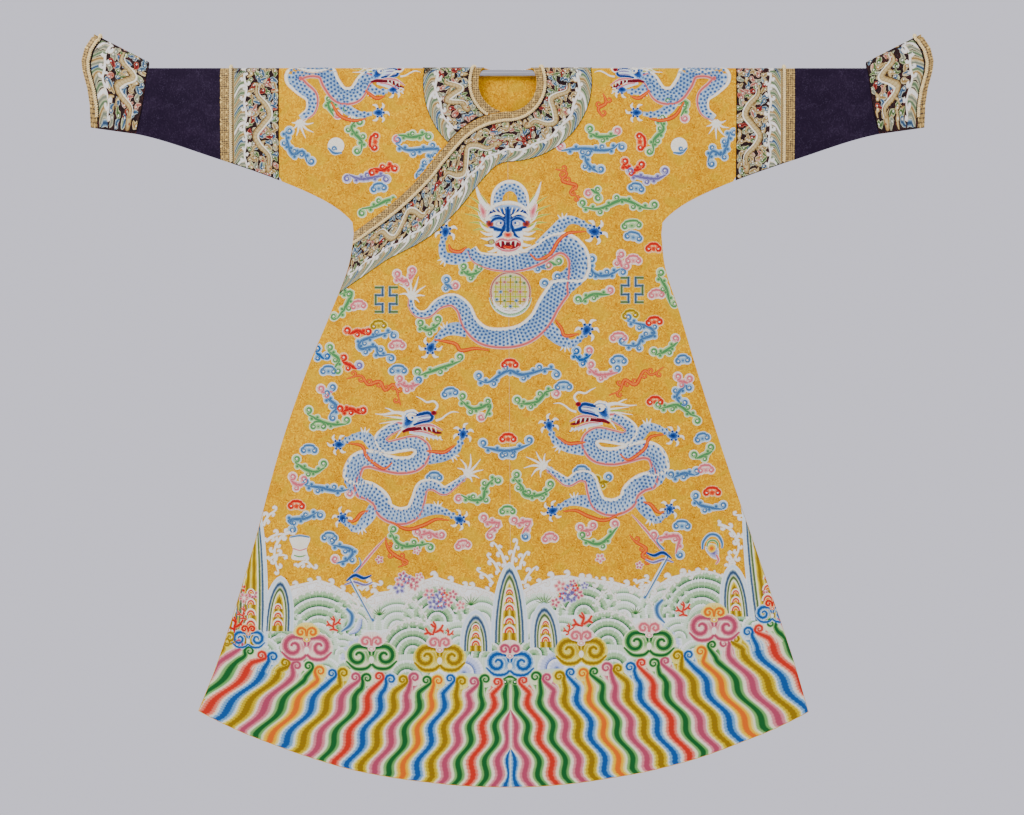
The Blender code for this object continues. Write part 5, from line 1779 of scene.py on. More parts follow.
skirtWork = {"lean": -0.048, "middle": 6.0, "stripes": 26, "stripeTop": 24.2, "stripeHem": 27.1,
             "wave": 73.0}
stripeTopLine = curveOf([(0, 1264), (150, 1254), (300, 1240), (450, 1206), (530, 1176), (570, 1160),
                         (640, 1146)])
billowLine = curveOf([(-620, 1040), (-480, 1052), (-440, 1050), (-395, 1036), (-340, 1056), (-300, 1082),
                      (-260, 1062), (-215, 1060), (-150, 1034), (-100, 1052), (-50, 1060), (0, 1080),
                      (50, 1056), (110, 1036), (160, 1044), (220, 1052), (280, 1070), (330, 1046),
                      (385, 1036), (430, 1046), (620, 1050)])
stripeTones = ["deepRed", "deepGreen", "rose", "olive", "deepBlue", "orange", "deepGreen", "rose", "olive",
               "deepBlue"]


def stripeTone(n):
    return ["deepGreen", "rose", "deepBlue", "olive"][-1 - n] if n < 0 else stripeTones[n % len(stripeTones)]


def lean(x):
    # How much higher the skirt's work sits towards one side than the other.
    return skirtWork["lean"] * x


def stripeLine(side, place, t):
    # A line down a stripe from its curl to the hem, with its swings.
    wave = skirtWork["wave"]
    top = skirtWork["middle"] + side * (27 + skirtWork["stripeTop"] * place)
    hem = skirtWork["middle"] + 3 + side * (93 + skirtWork["stripeHem"] * place)
    start = float(stripeTopLine(abs(top))) + lean(top) - 14
    drop = lerp(start, float(hemDrop(hem / 1000)) * 1000, t)
    swing = -np.sin(2 * math.pi * (drop - 1352 - lean(top)) / wave) * wave * 0.096
    swing = swing * smooth(t / 0.15) * smooth((1 - t) / 0.08 + 0.2)
    x = lerp(top, hem, t ** 1.06) + side * swing - skirtWork["middle"]
    return np.stack([side * np.maximum(0.0, side * x) + skirtWork["middle"], drop], -1)


def stripes(work):
    for side in (-1, 1):
        for n in range(-4, skirtWork["stripes"]):
            edges = [stripeLine(side, place, np.linspace(0, 1, 54)) for place in (n - 0.5, n + 0.5)]
            left, right = edges if side > 0 else edges[::-1]
            work.strip(left, right, stripeTone(n), 0.30, 0.06, True, rim=(0.14, 0.13))


def stripeCurls(work):
    # Each stripe rises into a small wound curl.
    for side in (-1, 1):
        for n in range(skirtWork["stripes"]):
            x = skirtWork["middle"] + side * (27 + skirtWork["stripeTop"] * n)
            drop = float(stripeTopLine(abs(x))) + lean(x) - 15 - (5 if n % 3 == 1 else 0)
            tone = stripeTones[n % len(stripeTones)]
            size = 1.12 if n % 2 else 0.94
            work.disc(x, drop + 1, 14.0 * size, 14.0 * size, tone, 0.0, 0.42, 0.34, 4.5, 0.22)
            hand = side if n % 2 else -side
            path = spiral(x, drop, 10.4 * size, math.radians(90 - 50 * hand), 1.3, -hand, 0.24)
            stem = list(stripeLine(side, n, np.array([0.20, 0.17, 0.14, 0.11])))
            work.ribbon(stem + list(path), (21, 19, 15, 11, 8.8, 7.8, 5.0), tone, 0.54, 0.44, 3.2)


def mound(work, x, drop, radius, tone, height):
    # A heap of billows: one band inside another.
    bands = max(2, int(round(radius / 17)))
    for k in range(bands):
        edges = []
        for size in (radius * (1 - k / bands), radius * (1 - (k + 1) / bands) + 0.3):
            turns = np.linspace(math.pi * 1.02, -math.pi * 0.02, max(7, int(size / 2.2)))
            edges.append(np.stack([x + size * np.cos(turns), drop - size * np.sin(turns)], -1))
        shares = np.linspace(0, 1, max(len(edge) for edge in edges))
        edges = [np.stack([np.interp(shares, np.linspace(0, 1, len(e)), e[:, c]) for c in (0, 1)], -1)
                 for e in edges]
        work.strip(edges[0], edges[1], tone, height + 0.015 * k, height - 0.06, False)


def foamCurls(work, points, size=8.0, hand=1, height=0.40):
    work.ribbon(points, (size * 0.9, size * 0.7, size * 0.5), "foam", height - 0.06, height - 0.14, size)
    line = smoothLine(points, size * 1.5)
    side = sideways(line)
    for k in range(len(line)):
        flip = hand if k % 2 else -hand
        reach = size * (0.66 + 0.3 * ((k * 7) % 3) / 2)
        centre = line[k] + side[k] * flip * reach * 0.8
        path = spiral(*centre, reach * 0.7, rootAngle(side[k], flip), 0.8, flip, 0.3)
        work.ribbon(path, (size * 0.7, size * 0.95, size * 0.8), "foam", height, height - 0.08, 3.0)


def crest(work, x, drop, radius):
    line = [off(x, drop, radius, math.radians(a)) for a in (-160, -125, -90, -55, -20)]
    foamCurls(work, line, 5.5, 1, 0.36)


def peak(work, x, base, half, height, bands, foot, tilt, blunt=2.1):
    # A mountain of bands one inside another, with a pale halo round it.
    edges = []
    halo = 8.0
    q = np.concatenate([np.linspace(0, 0.9, 14), [0.96, 1.0]])
    bands = [("skin", halo)] + bands
    inward = -halo
    for wide in [width for _, width in bands] + [0.0]:
        across = max(0.05, half - inward) * (1 - q ** blunt) ** 0.62
        up = base - max(4.0, height - inward * (2.1 if inward > 0 else 1.3)) * q
        left = np.stack([x - across + tilt * (base - up), up], -1)
        right = np.stack([x + across + tilt * (base - up), up], -1)[::-1]
        edges.append(np.concatenate([left, right[1:]]))
        inward = min(inward + wide, half)
    for k, (tone, _) in enumerate(bands):
        work.strip(edges[k], edges[k + 1], tone, foot + 0.10, foot + 0.01 * k, False)


archRings = (("cream", 1.0, 0.80), ("deepRed", 0.80, 0.42), ("orange", 0.42, 0.04))


def scallops(work, x, base, half, rows, pitch):
    # Small nested arches piled inside a mountain.
    turns = np.linspace(math.pi, 0, 11)
    for k in range(rows):
        size, low = half * (1 - 0.10 * k), base - k * pitch
        for j, (tone, outer, inner) in enumerate(archRings):
            arcs = [np.stack([x + size * r * np.cos(turns), low - size * r * 1.25 * np.sin(turns)], -1)
                    for r in (outer, inner)]
            work.strip(*arcs, tone, 0.55 + 0.02 * j, 0.50 + 0.02 * j)


def cloudHead(work, x, drop, outer, inner, width=104):
    # The large wound heads from which the stripes fall.
    size, foot = width / 104, 0.44
    stamp = Stamp(work, x, drop, 0.0, 1, size)
    work.blob(stamp.spot([(-44, 26), (-55, 8), (-46, -14), (-26, -22), (-10, -30), (10, -30), (26, -22),
                          (46, -14), (55, 8), (44, 26), (22, 34), (0, 27), (-22, 34)]), outer, foot - 0.02,
              foot - 0.10, 4.0, deep=0.2)
    for side in (1, -1):
        half = Stamp(work, x, drop, 0.0, side, size)
        path = spiral(27, 6, 21.5, math.radians(-118), 1.3, 1, 0.2)
        half.ribbon([(3, 4), (6, -9)] + list(path), (7, 14, 18, 18, 16, 13, 8), outer, foot + 0.12,
                    foot + 0.04)
        half.ribbon([(52, 16), (34, 31), (12, 31), (0, 22)], (5, 11, 12, 9), outer, foot + 0.14, foot + 0.05)
    work.blob(stamp.spot([(-24, -14), (-27, -28), (-14, -41), (0, -44), (14, -41), (27, -28), (24, -14),
                          (0, -6)]), inner,
              foot + 0.13, foot + 0.04, 4.0, deep=0.22)
    for side in (1, -1):
        half = Stamp(work, x, drop, 0.0, side, size)
        top = spiral(12, -24, 10, math.radians(-150), 1.15, 1, 0.28)
        half.ribbon([(1, -15), (2, -27)] + list(top), (5, 9, 10.5, 10, 7), inner, foot + 0.22, foot + 0.14)
    stamp.disc(0, -9, 8, 5.5, inner, foot + 0.20, foot + 0.12)
    stamp.disc(0, -9, 4, 3, "cream", foot + 0.24, foot + 0.16)
    stamp.disc(0, 13, 5, 7, "cream", foot + 0.15, foot + 0.06)


def blossom(work, x, drop, size, tone):
    for k in range(5):
        angle = 2 * math.pi * k / 5 + x
        work.disc(*off(x, drop, size, angle), size * 0.92, size * 0.70, tone, angle, 0.50, 0.40, 3.5)
    work.disc(x, drop, size * 0.4, size * 0.4, "cream", 0.0, 0.58, 0.48, 3.0)


def coral(work, x, drop, size, tone="deepRed"):
    stamp = Stamp(work, x, drop, 0.0, 1, size)
    for points in ([(0, 12), (-1, 2), (2, -8), (-2, -16)], [(-1, 6), (-9, 2), (-14, -6)],
                   [(1, 2), (9, -3), (14, -11)], [(-9, 2), (-16, 4)], [(2, -6), (-6, -12)],
                   [(9, -3), (15, 0)], [(0, 11), (-9, 13)], [(0, 11), (9, 14)]):
        stamp.ribbon(points, (7.0, 6.4, 4.4), tone, 0.52, 0.42, 3.5)


def spray(work, x, drop, size):
    for k in range(7):
        angle = math.radians(-90 + (k - 3) * 22)
        reach = size * (1.0 if k % 2 else 0.8)
        work.ribbon([(x, drop), off(x, drop, reach, angle)], (3.0, 2.6, 1.0), "deepGreen", 0.42, 0.34, 4.0)


heaps = [   # billows: x from the middle, drop, radius, tone, whether foam tops it; back to front
    (60, 1122, 58, "paleBillow", True), (150, 1118, 76, "billow", True),
    (232, 1128, 66, "paleBillow", True), (322, 1124, 64, "paleBillow", False),
    (392, 1132, 92, "billow", True), (470, 1136, 60, "paleBillow", False), (540, 1120, 56, "billow", True),
    (105, 1168, 52, "paleBillow", False), (200, 1182, 70, "billow", True),
    (300, 1190, 52, "lilacBillow", False), (345, 1176, 44, "paleBillow", False),
    (400, 1160, 52, "paleBillow", False), (470, 1166, 52, "billow", True),
    (545, 1144, 40, "lilacBillow", False), (48, 1196, 50, "billow", False),
    (95, 1226, 40, "lilacBillow", False), (148, 1236, 40, "paleBillow", False),
    (212, 1232, 38, "billow", False), (262, 1236, 34, "paleBillow", False),
    (330, 1226, 40, "billow", False), (380, 1214, 34, "paleBillow", False),
    (440, 1190, 32, "billow", False), (505, 1166, 32, "paleBillow", False),
    (570, 1146, 28, "billow", False),
]
foamLines = [
    [(-4, 1010), (-12, 986), (-26, 965)], [(-17, 1024), (-26, 1006), (-40, 992)],
    [(-30, 1048), (-42, 1032), (-60, 1022)], [(9, 1012), (12, 988), (20, 962)],
    [(25, 1018), (29, 1000), (38, 984)], [(34, 1048), (42, 1030), (56, 1014)],
    [(-520, 916), (-528, 892), (-520, 872)], [(-502, 930), (-492, 910), (-476, 898)],
    [(-496, 962), (-480, 950), (-462, 946)], [(-490, 1000), (-474, 990), (-456, 990)],
    [(524, 872), (532, 850), (524, 832)], [(508, 888), (498, 870), (482, 858)],
    [(500, 922), (486, 910), (468, 908)], [(494, 960), (480, 952), (462, 952)],
    [(-440, 940), (-462, 950), (-476, 972), (-478, 996), (-470, 1024)],
    [(432, 926), (456, 936), (472, 958), (474, 980), (462, 1004)],
    [(-432, 1014), (-414, 1002), (-398, 1016)], [(452, 1014), (461, 1000), (454, 988)],
    [(-300, 1060), (-280, 1046), (-262, 1050)], [(262, 1046), (282, 1040), (300, 1052)],
]
posies = [(-134, 1080), (134, 1064), (-206, 1046), (552, 1052), (-548, 1076)]
loneBlossoms = [
    (-128, 1078, 6, "pink"), (-112, 1070, 6, "rose"), (-140, 1090, 5, "red"), (126, 1060, 6, "pink"),
    (142, 1066, 6, "rose"), (112, 1072, 5, "red"), (-160, 1072, 5, "grey"), (158, 1052, 5, "grey"),
    (-96, 1092, 6, "pink"), (98, 1086, 6, "rose"), (-186, 980, 5, "pink"), (-262, 998, 5, "rose"),
    (190, 996, 6, "pink"), (270, 1010, 5, "rose"),
]
coralSpots = [(-150, 1146, 1.3), (-122, 1152, 0.8), (154, 1128, 1.35), (126, 1142, 0.8), (-356, 1130, 1.0),
              (360, 1100, 1.0)]


def paleSea(work):
    # The sea behind everything, from the billows' line down to the stripes.
    s = np.linspace(-640, 640, 214)
    top, low = billowLine(s) + lean(s) * 0.4, stripeTopLine(np.abs(s)) + 6 + lean(s)
    drop = lerp(top[:, None], low[:, None], np.linspace(0, 1, 9)[None, :])
    flat = np.stack([np.broadcast_to(s[:, None], drop.shape), drop], -1)
    work.grid(flat, np.full(drop.shape, 0.10), np.linspace(0.02, 0.52, 9), "paleBillow")


def billows(work):
    for k, (x, drop, radius, tone, foamy) in enumerate(heaps):
        for side in (-1, 1):
            place = skirtWork["middle"] + side * x
            mound(work, place, drop + lean(place), radius, tone, 0.17 + 0.007 * k)
            if foamy:
                crest(work, place, drop + lean(place), radius - 2)
    for x, drop, size in ((75, 1078, 24), (-75, 1080, 24), (262, 1098, 18), (-262, 1100, 18)):
        spray(work, x, drop + 12, size)
    fringe = np.arange(-450, 451, 30.0)
    heights = billowLine(fringe) + lean(fringe) * 0.4
    for k in range(0, len(fringe) - 3, 2):
        if abs(fringe[k + 1]) > 40:
            foamCurls(work, [(fringe[j], heights[j] - 1) for j in range(k, k + 3)], 9.5, 1 if k % 4 else -1)
    for points in foamLines:
        foamCurls(work, points)


def mountains(work):
    tall = [("mutedBlue", 6.5), ("mutedGreen", 6.5), ("cream", 2.0), ("olive", 60)]
    low = [("mutedBlue", 6.0), ("mutedGreen", 4.5), ("cream", 1.6), ("olive", 60)]
    middle = skirtWork["middle"]
    peak(work, middle - 2, 1168, 31, 155, tall, 0.36, 0.0)
    scallops(work, middle - 2, 1148, 14.0, 2, 19)
    scallops(work, middle - 2, 1102, 12.5, 3, 17)
    for x, base, height, tilt in ((-69, 1186, 76, 0.0), (75, 1178, 84, -0.05), (-476, 1146, 104, 0.06),
                                  (466, 1116, 98, -0.08)):
        place = middle + x - 2
        peak(work, place, base, 25, height, low, 0.36, tilt, 2.7)
        scallops(work, place + tilt * 20, base - 12, 11.5, 3, 17)
    for side, reach, tilt in ((-1, 537, 0.03), (1, 533, -0.14)):
        place = middle + side * reach
        base = 1150 + lean(place)
        peak(work, place + side * 34, base, 26, 232, low, 0.35, tilt)
        peak(work, place, base, 31, 300, tall, 0.37, tilt)
        scallops(work, place - side * 4, base - 40, 13, 4, 22)
        place = middle + side * 528
        coral(work, place + side * 38, base - 40, 1.2, "red")
        coral(work, place + side * 20, base - 66, 0.9, "deepRed")


def seaFlowers(work):
    for centre, drop in posies:
        chance = random.Random(int(centre))
        for _ in range(9):
            turn, far = chance.uniform(0, 2 * math.pi), chance.uniform(4, 25)
            blossom(work, centre + far * math.cos(turn) * 1.3, drop + far * math.sin(turn) * 0.8,
                    chance.uniform(5, 7.5), chance.choice(("pink", "rose", "pink", "rose", "red", "grey")))
    for row in loneBlossoms:
        blossom(work, *row)
    for row in coralSpots:
        coral(work, *row)
    for tone, points in (("blue", [(-340, 1146), (-322, 1132), (-318, 1112), (-330, 1098)]),
                         ("lilacBillow", [(-325, 1150), (-308, 1140), (-300, 1118)]),
                         ("blue", [(322, 1128), (308, 1112), (306, 1094), (318, 1080)])):
        work.ribbon(points, (4, 12, 14, 8), tone, 0.46, 0.36)


def skirtLandscape(work):
    paleSea(work)
    billows(work)
    mountains(work)
    seaFlowers(work)
    stripeCurls(work)
    middle = skirtWork["middle"]
    for x, drop, outer, inner in ((145, 1186, "olive", "pink"), (284, 1176, "deepGreen", "pink"),
                                  (418, 1152, "rose", "orange")):
        for side in (-1, 1):
            place = middle + side * x
            cloudHead(work, place, drop + lean(place), outer, inner)
    smallHeads = ((538, 1132, "deepBlue", "red", 70), (590, 1128, "olive", "pink", 54))
    for side in (-1, 1):
        for x, drop, outer, inner, width in smallHeads:
            place = middle + side * x
            cloudHead(work, place, drop + lean(place), outer, inner, width)
    cloudHead(work, middle - 1, 1204, "deepBlue", "rose", 98)
    twin(work, "deepGreen", (middle - 13, 1248), (middle + 11, 1248))


# emblems

def sunDisc(work, x, drop, radius):
    work.disc(x, drop, radius, radius, "beige", 0.0, 0.22, 0.10, deep=0.3)
    for k in range(-3, 4):
        reach = math.sqrt(max(0.0, 1 - (k / 3.8) ** 2)) * radius * 0.86
        for a, b in (((x + k * 10, drop - reach), (x + k * 10, drop + reach)),
                     ((x - reach, drop + k * 10), (x + reach, drop + k * 10))):
            work.ribbon([a, b], 3.6, "mane" if k % 2 else "olive", 0.32, 0.22)
    for k, (dx, dy) in enumerate(((-12, -20), (12, -20), (-20, 0), (20, 0), (-12, 18), (12, 18), (0, -2),
                                  (0, -32), (0, 30), (-28, -18), (28, -18), (-28, 16), (28, 16))):
        tone = ("dusty", "mutedGreen", "mutedBlue")[k % 3]
        work.disc(x + dx, drop + dy, 5.0, 4.2, tone, 0.0, 0.38, 0.26, 3.0)
    rim = [off(x, drop, radius, t) for t in np.linspace(0, 2 * math.pi, 25)[:-1]]
    work.ribbon(rim, 5.0, "dusty", 0.36, 0.20, closed=True)
    for k, tone in enumerate(("billow", "foam")):
        size = radius + 4 - 6 * k
        arc = [off(x, drop + 4, size, a) for a in np.radians(np.linspace(10, 170, 9))]
        work.ribbon(arc, (2, 6, 7.5, 6, 2), tone, 0.40 + 0.04 * k, 0.26)
    foam = [(x + dx, drop + dy) for dx, dy in ((-34, 26), (-18, 34), (0, 38), (18, 34), (34, 26))]
    foamCurls(work, foam, 5.0)


def moonDisc(work, x, drop, flip):
    work.disc(x, drop, 17, 17, "cream", 0.0, 0.30, 0.10)
    work.ribbon([(x - 12 * flip, drop + 14), (x + 4 * flip, drop + 15), (x + 16 * flip, drop + 4)],
                (4, 9, 4), "blue", 0.40, 0.24)
    curl(work, x + 4 * flip, drop + 6, 7, 0.6, flip, "blue", 1.2, 0.26)


def fret(work, x, drop, flip):
    # One half of a squared meander; two stand back to back.
    corners = [(7, -25), (-7, -25), (-7, -9), (7, -9), (7, 9), (-7, 9), (-7, 25), (7, 25)]
    for k, (a, b) in enumerate(zip(corners, corners[1:])):
        a, b = np.array(a, float), np.array(b, float)
        more = (b - a) / np.hypot(*(b - a)) * 2.6
        ends = [(x + flip * end[0], drop + end[1]) for end in (a - more, b + more)]
        work.ribbon(ends, 7.4, "mutedBlue" if k % 3 else "mutedGreen", 0.32, 0.10 + 0.01 * k)


def treasures(work):
    # a cup, a scroll tied with ribbons and a ring, among the spray
    cup = Stamp(work, -426, 978)
    cup.blob([(-20, -26), (20, -26), (14, 0), (16, 20), (-16, 20), (-14, 0)], "cream", 0.30, 0.10)
    cup.ribbon([(-20, -25), (0, -28), (20, -25)], (4, 5, 4), "blue", 0.40, 0.24)
    cup.ribbon([(-14, -2), (0, 2), (14, -2)], (3, 4, 3), "pink", 0.38, 0.24)
    cup.ribbon([(-12, 12), (0, 15), (12, 12)], (3, 4, 3), "green", 0.38, 0.24)
    for flip, x, drop in ((1, -300, 1064), (-1, 306, 1018)):
        rod = Stamp(work, x, drop, 0.0, flip)
        rod.ribbon([(-24, -30), (26, 60)], 8.0, "blue", 0.52, 0.40)
        rod.ribbon([(-20, -26), (24, 54)], 2.6, "cream", 0.56, 0.48)
        rod.ribbon([(-30, -22), (-12, -34), (6, -28), (22, -34)], (3, 8, 8, 3), "face", 0.54, 0.42)
        rod.ribbon([(-34, -14), (-14, -20), (8, -14), (24, -20)], (3, 7, 7, 3), "grey", 0.54, 0.42)
        rod.ribbon([(-10, -38), (8, -62), (30, -88), (52, -112)], (3, 7, 6, 2), "pink", 0.36, 0.12)
        rod.ribbon([(-14, -40), (0, -56), (-4, -70)], (6, 6, 2), "blue", 0.38, 0.14)
    jewel = Stamp(work, 420, 972)
    jewel.blob([(-15, 3), (-6, -6), (8, -3), (14, 10), (11, 26), (0, 24), (-10, 14)], "grey", 0.36, 0.12)
    jewel.ribbon([(-20, 6), (-18, -10), (-5, -24), (11, -22), (20, -8), (20, 4)], (5, 8, 9, 9, 8, 4), "blue",
                 0.40, 0.16)
    jewel.ribbon([(-11, 1), (-8, -9), (1, -13), (10, -8), (12, 3)], (3, 5, 5, 5, 3), "green", 0.44, 0.26)
    jewel.disc(-1, 4, 9.0, 9.5, "orange", 0.48, 0.32)
    jewel.ribbon([(8, 17), (13, 28), (7, 37)], (7, 6, 3), "pink", 0.42, 0.18)


# working the body

def bodyPlace(lift, thickness, sign):
    def place(x, drop, height):
        x, v = np.asarray(x) / 1000, sign * (quarter + np.asarray(drop) / 1000)
        return clothPoints(x, v, lift(x, v) + thickness(x, v) + np.asarray(height) / 1000)
    return place


def withinPanels(flat):
    # Draws work that would cross a seam or the hem back to just inside it.
    x, drop = flat[..., 0] / 1000, flat[..., 1] / 1000
    inset = 0.0013
    drop = np.minimum(drop, hemDrop(x) - inset)
    below = np.maximum(drop, underarmDrop)
    reach = np.where(x < 0, sideReach[-1](below), sideReach[1](below))
    reach = np.where(drop < underarmDrop, sleeveSeam, reach) - inset
    x = np.clip(x, -reach, reach)
    drop = np.where((np.abs(x) > underarmReach) & (drop < underarmDrop + 0.01),
                    np.minimum(drop, underDrop(np.abs(x)) - inset), drop)
    return np.stack([x * 1000, drop * 1000], -1)


def clearOfNeck(x, drop):
    return np.hypot(x / 1000, drop / 1000 - neckDrop) > neckRadius + 0.020


def onLeftFront(x, drop):
    flap = flapDrop(np.maximum(-x / 1000, 0.0)) * 1000
    return np.where(x < 0, drop > flap + 18, clearOfNeck(x, drop))


def onRightFront(x, drop):
    flap = flapDrop(np.maximum(-x / 1000, 0.0)) * 1000
    return (x < -2) & (drop < flap - 1.5) & clearOfNeck(x, drop)


def onBackPanels(x, drop):
    return (np.abs(x) / 1000 > neckReach(-quarter) + 0.02) | (drop / 1000 > backDip + 0.012)


def dressBody(label, place, keeps, sides, wholeBody):
    clouds, beasts = Needlework(place, keeps, withinPanels), Needlework(place, keeps, withinPanels)
    scales = ScaleField(beasts)
    for flip in sides:
        for tone, points in sideClouds:
            scroll(clouds, tone, [(x * flip, drop) for x, drop in points])
        for tone, a, b in sideTwins:
            twin(clouds, tone, (a[0] * flip, a[1]), (b[0] * flip, b[1]))
        moonDisc(clouds, 352 * flip, 150, flip)
        shoulderDragon(beasts, scales, -flip)
    if wholeBody:
        cloudy(clouds)
        sunDisc(clouds, 6, 450, 40)
        for x, drop, flip in ((-263, 466, -1), (-234, 466, 1), (241, 446, -1), (270, 446, 1)):
            fret(clouds, x, drop, flip)
        treasures(clouds)
        chestDragon(beasts, scales)
        sideDragon(beasts, scales, 1)
        sideDragon(beasts, scales, -1)
        hem = Needlework(place, keeps, withinPanels)
        stripes(hem)
        skirtLandscape(hem)
        hem.finish(f"seaAndStripes_{label}")
    clouds.finish(f"clouds_{label}")
    beasts.finish(f"dragons_{label}")
    scales.finish(f"dragonScales_{label}")


dressBody("front", bodyPlace(outerLift, plainThick, 1), onLeftFront, (1,), True)
dressBody("rightChest", bodyPlace(noLift, rightThick, 1), onRightFront, (-1,), False)
dressBody("back", bodyPlace(noLift, plainThick, -1), onBackPanels, (1, -1), True)
print("body needlework ready")


# working the facings, bands and cuffs

trimTones = ["mutedBlue", "mutedGreen", "dusty", "beige", "wine", "mutedBlue", "tide", "beige", "mutedGreen",
             "gold"]
borderTones = ["tide", "tideGreen", "beige", "tide", "mutedBlue", "tideGreen", "beige", "tide", "tideGreen",
               "foam"]


def denseClouds(work, aLow, aHigh, bLow, bHigh, pitch, seed):
    # Small clouds packed close on a dark ground.
    chance = random.Random(seed)
    rows, columns = int((bHigh - bLow) / pitch), int((aHigh - aLow) / pitch)
    for j in range(rows):
        for k in range(columns):
            a = aLow + (k + 0.5 + chance.uniform(-0.25, 0.25)) * (aHigh - aLow) / columns
            b = bLow + (j + 0.5 + chance.uniform(-0.25, 0.25)) * (bHigh - bLow) / rows
            tone = chance.choice(trimTones)
            turn = chance.uniform(0, 2 * math.pi)
            reach = pitch * 0.60
            dx, dy = math.cos(turn) * reach, math.sin(turn) * reach
            if chance.random() < 0.30:
                work.disc(a, b, pitch * 0.75, pitch * 0.5, chance.choice(trimTones), turn, 0.20, 0.06, 5.0,
                          0.35)
            work.ribbon([(a - dx, b - dy), (a - dy * 0.3, b + dx * 0.3), (a + dx, b + dy)], (3.0, 8.0, 3.0),
                        tone, 0.32, 0.12, 4.0)
            hand = chance.choice((-1, 1))
            path = spiral(a + dx * 0.6, b + dy * 0.6, pitch * 0.33, turn + 2.2, 1.0, hand, 0.35)
            work.ribbon(path, (6.0, 4.6), tone, 0.37, 0.17, 3.0)
            work.disc(a + dx * 0.6, b + dy * 0.6, 1.9, 1.9, "cream", 0.0, 0.42, 0.32, 3.0)


def borderWaves(work, aLow, aHigh, inner, outer, step=7.5, slant=24.0):
    # The billowed border: slanting bands from its line to the edge, with foam along the line.
    count = int((aHigh - aLow + slant) / step)
    for k in range(count):
        edges = []
        for border in (0, 1):
            a = aLow - slant + (k + border) * (aHigh - aLow + slant) / count
            bow = 2.5 * math.sin(0.9 * k)
            line = [(a, inner), (a + slant * 0.15 + bow, lerp(inner, outer, 0.5)), (a + slant, outer)]
            edges.append(smoothLine(line, 5.0))
        rows = min(len(edges[0]), len(edges[1]))
        work.strip(edges[0][:rows], edges[1][:rows], borderTones[k % len(borderTones)], 0.22, 0.08, False)
    places = np.arange(aLow + 3, aHigh - 3, 11.0)
    away = -1 if inner < outer else 1
    line = [(a, inner + away * 2.5 * math.sin(k * 1.3)) for k, a in enumerate(places)]
    foamCurls(work, line, 7.0, 1, 0.40)


def goldDragon(work, a, b, length, swing, angle, size=1.0):
    # A small gilt dragon that winds along a trim.
    cos, sin = math.cos(angle), math.sin(angle)
    points = []
    for t in np.linspace(-0.5, 0.5, 9):
        x, y = t * length, swing * math.sin(t * 3.4 * math.pi)
        points.append((a + x * cos - y * sin, b + x * sin + y * cos))
    line = work.ribbon(points, (4, 10, 13.5, 14.5, 14.5, 13, 10, 7), "gold", 0.52, 0.26, 3.5, True)
    side = sideways(line)
    work.ribbon(line - side * 5.4, (1, 3.4, 3.4, 1), "cream", 0.60, 0.44, 4.0)
    for mark in range(4, len(line) - 4, 2):
        rib = [line[mark] + side[mark] * 5.0, line[mark + 1], line[mark] - side[mark] * 4.0]
        work.ribbon(rib, 1.7, "gold", 0.60, 0.50)
    head = Stamp(work, points[-1][0], points[-1][1], angle, 1, size)
    head.blob([(-6, -6), (6, -8), (16, -4), (17, 3), (6, 7), (-6, 6)], "gold", 0.54, 0.26)
    for tip in ((-14, -11), (-16, -3), (-12, 10)):
        head.ribbon([(0, 0), tip], (4.4, 1.0), "beige", 0.56, 0.32)
    head.disc(6, -3, 2.4, 2.4, "wine", 0.62, 0.44)
    for k, side in ((2, 1), (4, -1), (6, 1)):
        foot = Stamp(work, points[k][0], points[k][1], angle, 1, size)
        foot.ribbon([(0, 0), (5, side * 11), (12, side * 14)], (7, 6, 4), "gold", 0.48, 0.24)
        for spread in (-0.9, 0.0, 0.9):
            toe = (12 + 8 * math.cos(spread), side * 14 + 8 * math.sin(spread) * side)
            foot.ribbon([(12, side * 14), toe], (3.4, 1.0), "beige", 0.50, 0.26)


def trimPlace(where):
    offsets, places, lift = collar[where]
    middle = places[6]
    runs = np.concatenate([[0], np.cumsum(np.hypot(*np.diff(middle, axis=0).T))]) * 1000

    def place(a, b, height):
        i = np.clip(np.interp(a, runs, np.arange(len(runs))), 0, len(runs) - 1.001)
        j = np.clip(np.interp(np.asarray(b) / 1000 + facingStart, offsets, np.arange(len(offsets))), 0,
                    len(offsets) - 1.001)
        i0, j0 = i.astype(int), j.astype(int)
        s, t = (i - i0)[..., None], (j - j0)[..., None]
        spot = ((places[j0, i0] * (1 - s) + places[j0, i0 + 1] * s) * (1 - t)
                + (places[j0 + 1, i0] * (1 - s) + places[j0 + 1, i0 + 1] * s) * t)
        x, v = spot[..., 0], spot[..., 1]
        return clothPoints(x, v, lift(x, v) + trimThick + np.asarray(height) / 1000)

    return place, float(runs[-1])


def inside(aLow, aHigh, bLow, bHigh):
    def hold(flat):
        return np.stack([np.clip(flat[..., 0], aLow, aHigh), np.clip(flat[..., 1], bLow, bHigh)], -1)
    return hold


facingWidth = (facingAtShoulder - facingStart) * 1000
for where, seed in (("outer", 11), ("inner", 12), ("back", 13)):
    place, length = trimPlace(where)
    work = Needlework(place, None, inside(0.8, length - 0.8, 0.8, facingWidth - 0.8))
    outerEdge = facingWidth - 1
    border = outerEdge - 26
    borderWaves(work, 1, length - 1, border, outerEdge)
    denseClouds(work, 2, length - 2, 2, border - 4, 11.6, seed)
    spots = {"outer": (0.16, 0.50, 0.80), "inner": (0.45,), "back": (0.2, 0.5, 0.8)}[where]
    for k, share in enumerate(spots):
        aim = math.pi if k % 2 else 0.0
        goldDragon(work, share * length, border * 0.5, min(135.0, length * 0.5), 17, aim)
    work.finish(f"facingWork_{where}", "dark_embroidery")


def bandPlace(sign):
    def place(a, b, height):
        x, v = sign * (sleeveSeam + np.asarray(a) / 1000), np.asarray(b) / 1000
        return clothPoints(x, v, clothThick + np.asarray(height) / 1000)
    return place


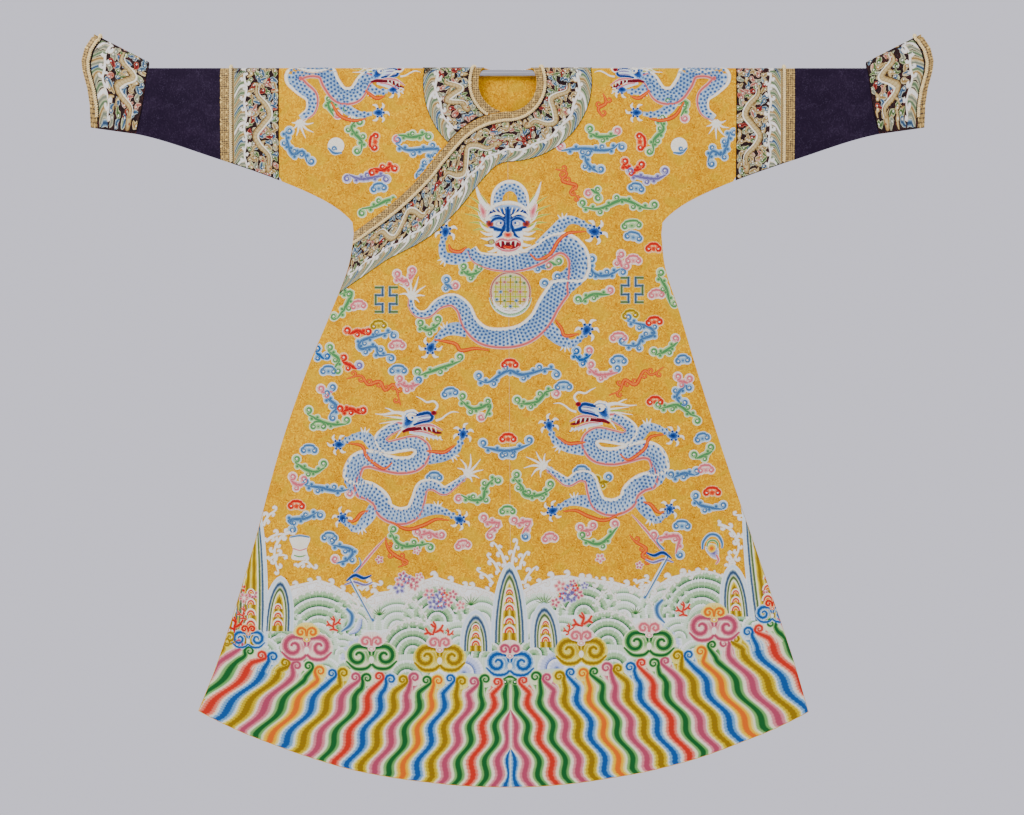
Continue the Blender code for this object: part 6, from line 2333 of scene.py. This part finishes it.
def bandHold(flat):
    a = np.clip(flat[..., 0], 1.0, (bandEnd - sleeveSeam) * 1000 - 3.0)
    limit = (quarter + underDrop(sleeveSeam + a / 1000)) * 1000 - 1.2
    return np.stack([a, np.clip(flat[..., 1], -limit, limit)], -1)


def swapped(place):
    # The same surface with its two directions the other way round, so a border runs down a sleeve.
    return lambda a, b, height: place(b, a, height)


bandWidth = (bandEnd - sleeveSeam) * 1000
for sign, wearer in wearers:
    tall = (quarter + float(underDrop(sleeveSeam))) * 1000
    work = Needlework(swapped(bandPlace(sign)), None, lambda flat: bandHold(flat[..., ::-1])[..., ::-1])
    border = bandWidth - 30
    borderWaves(work, -tall, tall, border, bandWidth - 7)
    denseClouds(work, -tall + 2, tall - 2, 3, border - 5, 11.6, 20 + sign)
    edgeLine = [(a, bandWidth - 5.5) for a in np.arange(-tall, tall + 1, 12.0)]
    work.ribbon(edgeLine, 4.0, "beige", 0.60, 0.20, 6.0)
    for centre in (-tall * 0.55, tall * 0.52):
        goldDragon(work, centre, 34, 165, 15, 0.0 if centre > 0 else math.pi)
    work.finish(f"sleeveBandWork_{wearer}", "dark_embroidery")


def cuffPlace(sign):
    def place(a, b, height):
        w = np.asarray(a) / 130
        return cuffPoints(sign, np.asarray(b) / 100 * cuffShareAt(w, edgingWidth + halfGap), w,
                          clothThick + np.asarray(height) / 1000)
    return place


for sign, wearer in wearers:
    work = Needlework(cuffPlace(sign), None, inside(-128.5, 128.5, 1.5, 96.5))
    borderWaves(work, -128, 128, 74, 95, 7.5, 12.0)
    denseClouds(work, -127, 127, 2, 70, 11.6, 30 + sign)
    for centre in (-64, 64):
        goldDragon(work, centre, 36, 104, 15, 0.0 if centre > 0 else math.pi, 0.9)
    work.finish(f"cuffWork_{wearer}", "dark_embroidery")
print("trims worked")


# the rod

rodNode = frame["nodes"]["rod"]
for slot in rodNode.material_slots:
    slot.link = "OBJECT"
    slot.material = rodMetal

bmFloor = bmesh.new()
bmesh.ops.create_circle(bmFloor, cap_ends=True, segments=96, radius=studio["floorRadius"])
floorMesh = bpy.data.meshes.new("floor")
bmFloor.to_mesh(floorMesh)
bmFloor.free()
for vertex in floorMesh.vertices:
    vertex.co.z = studio["floorHeight"]
floorMesh.materials.append(floorMaterial)
addObject("floor", floorMesh)
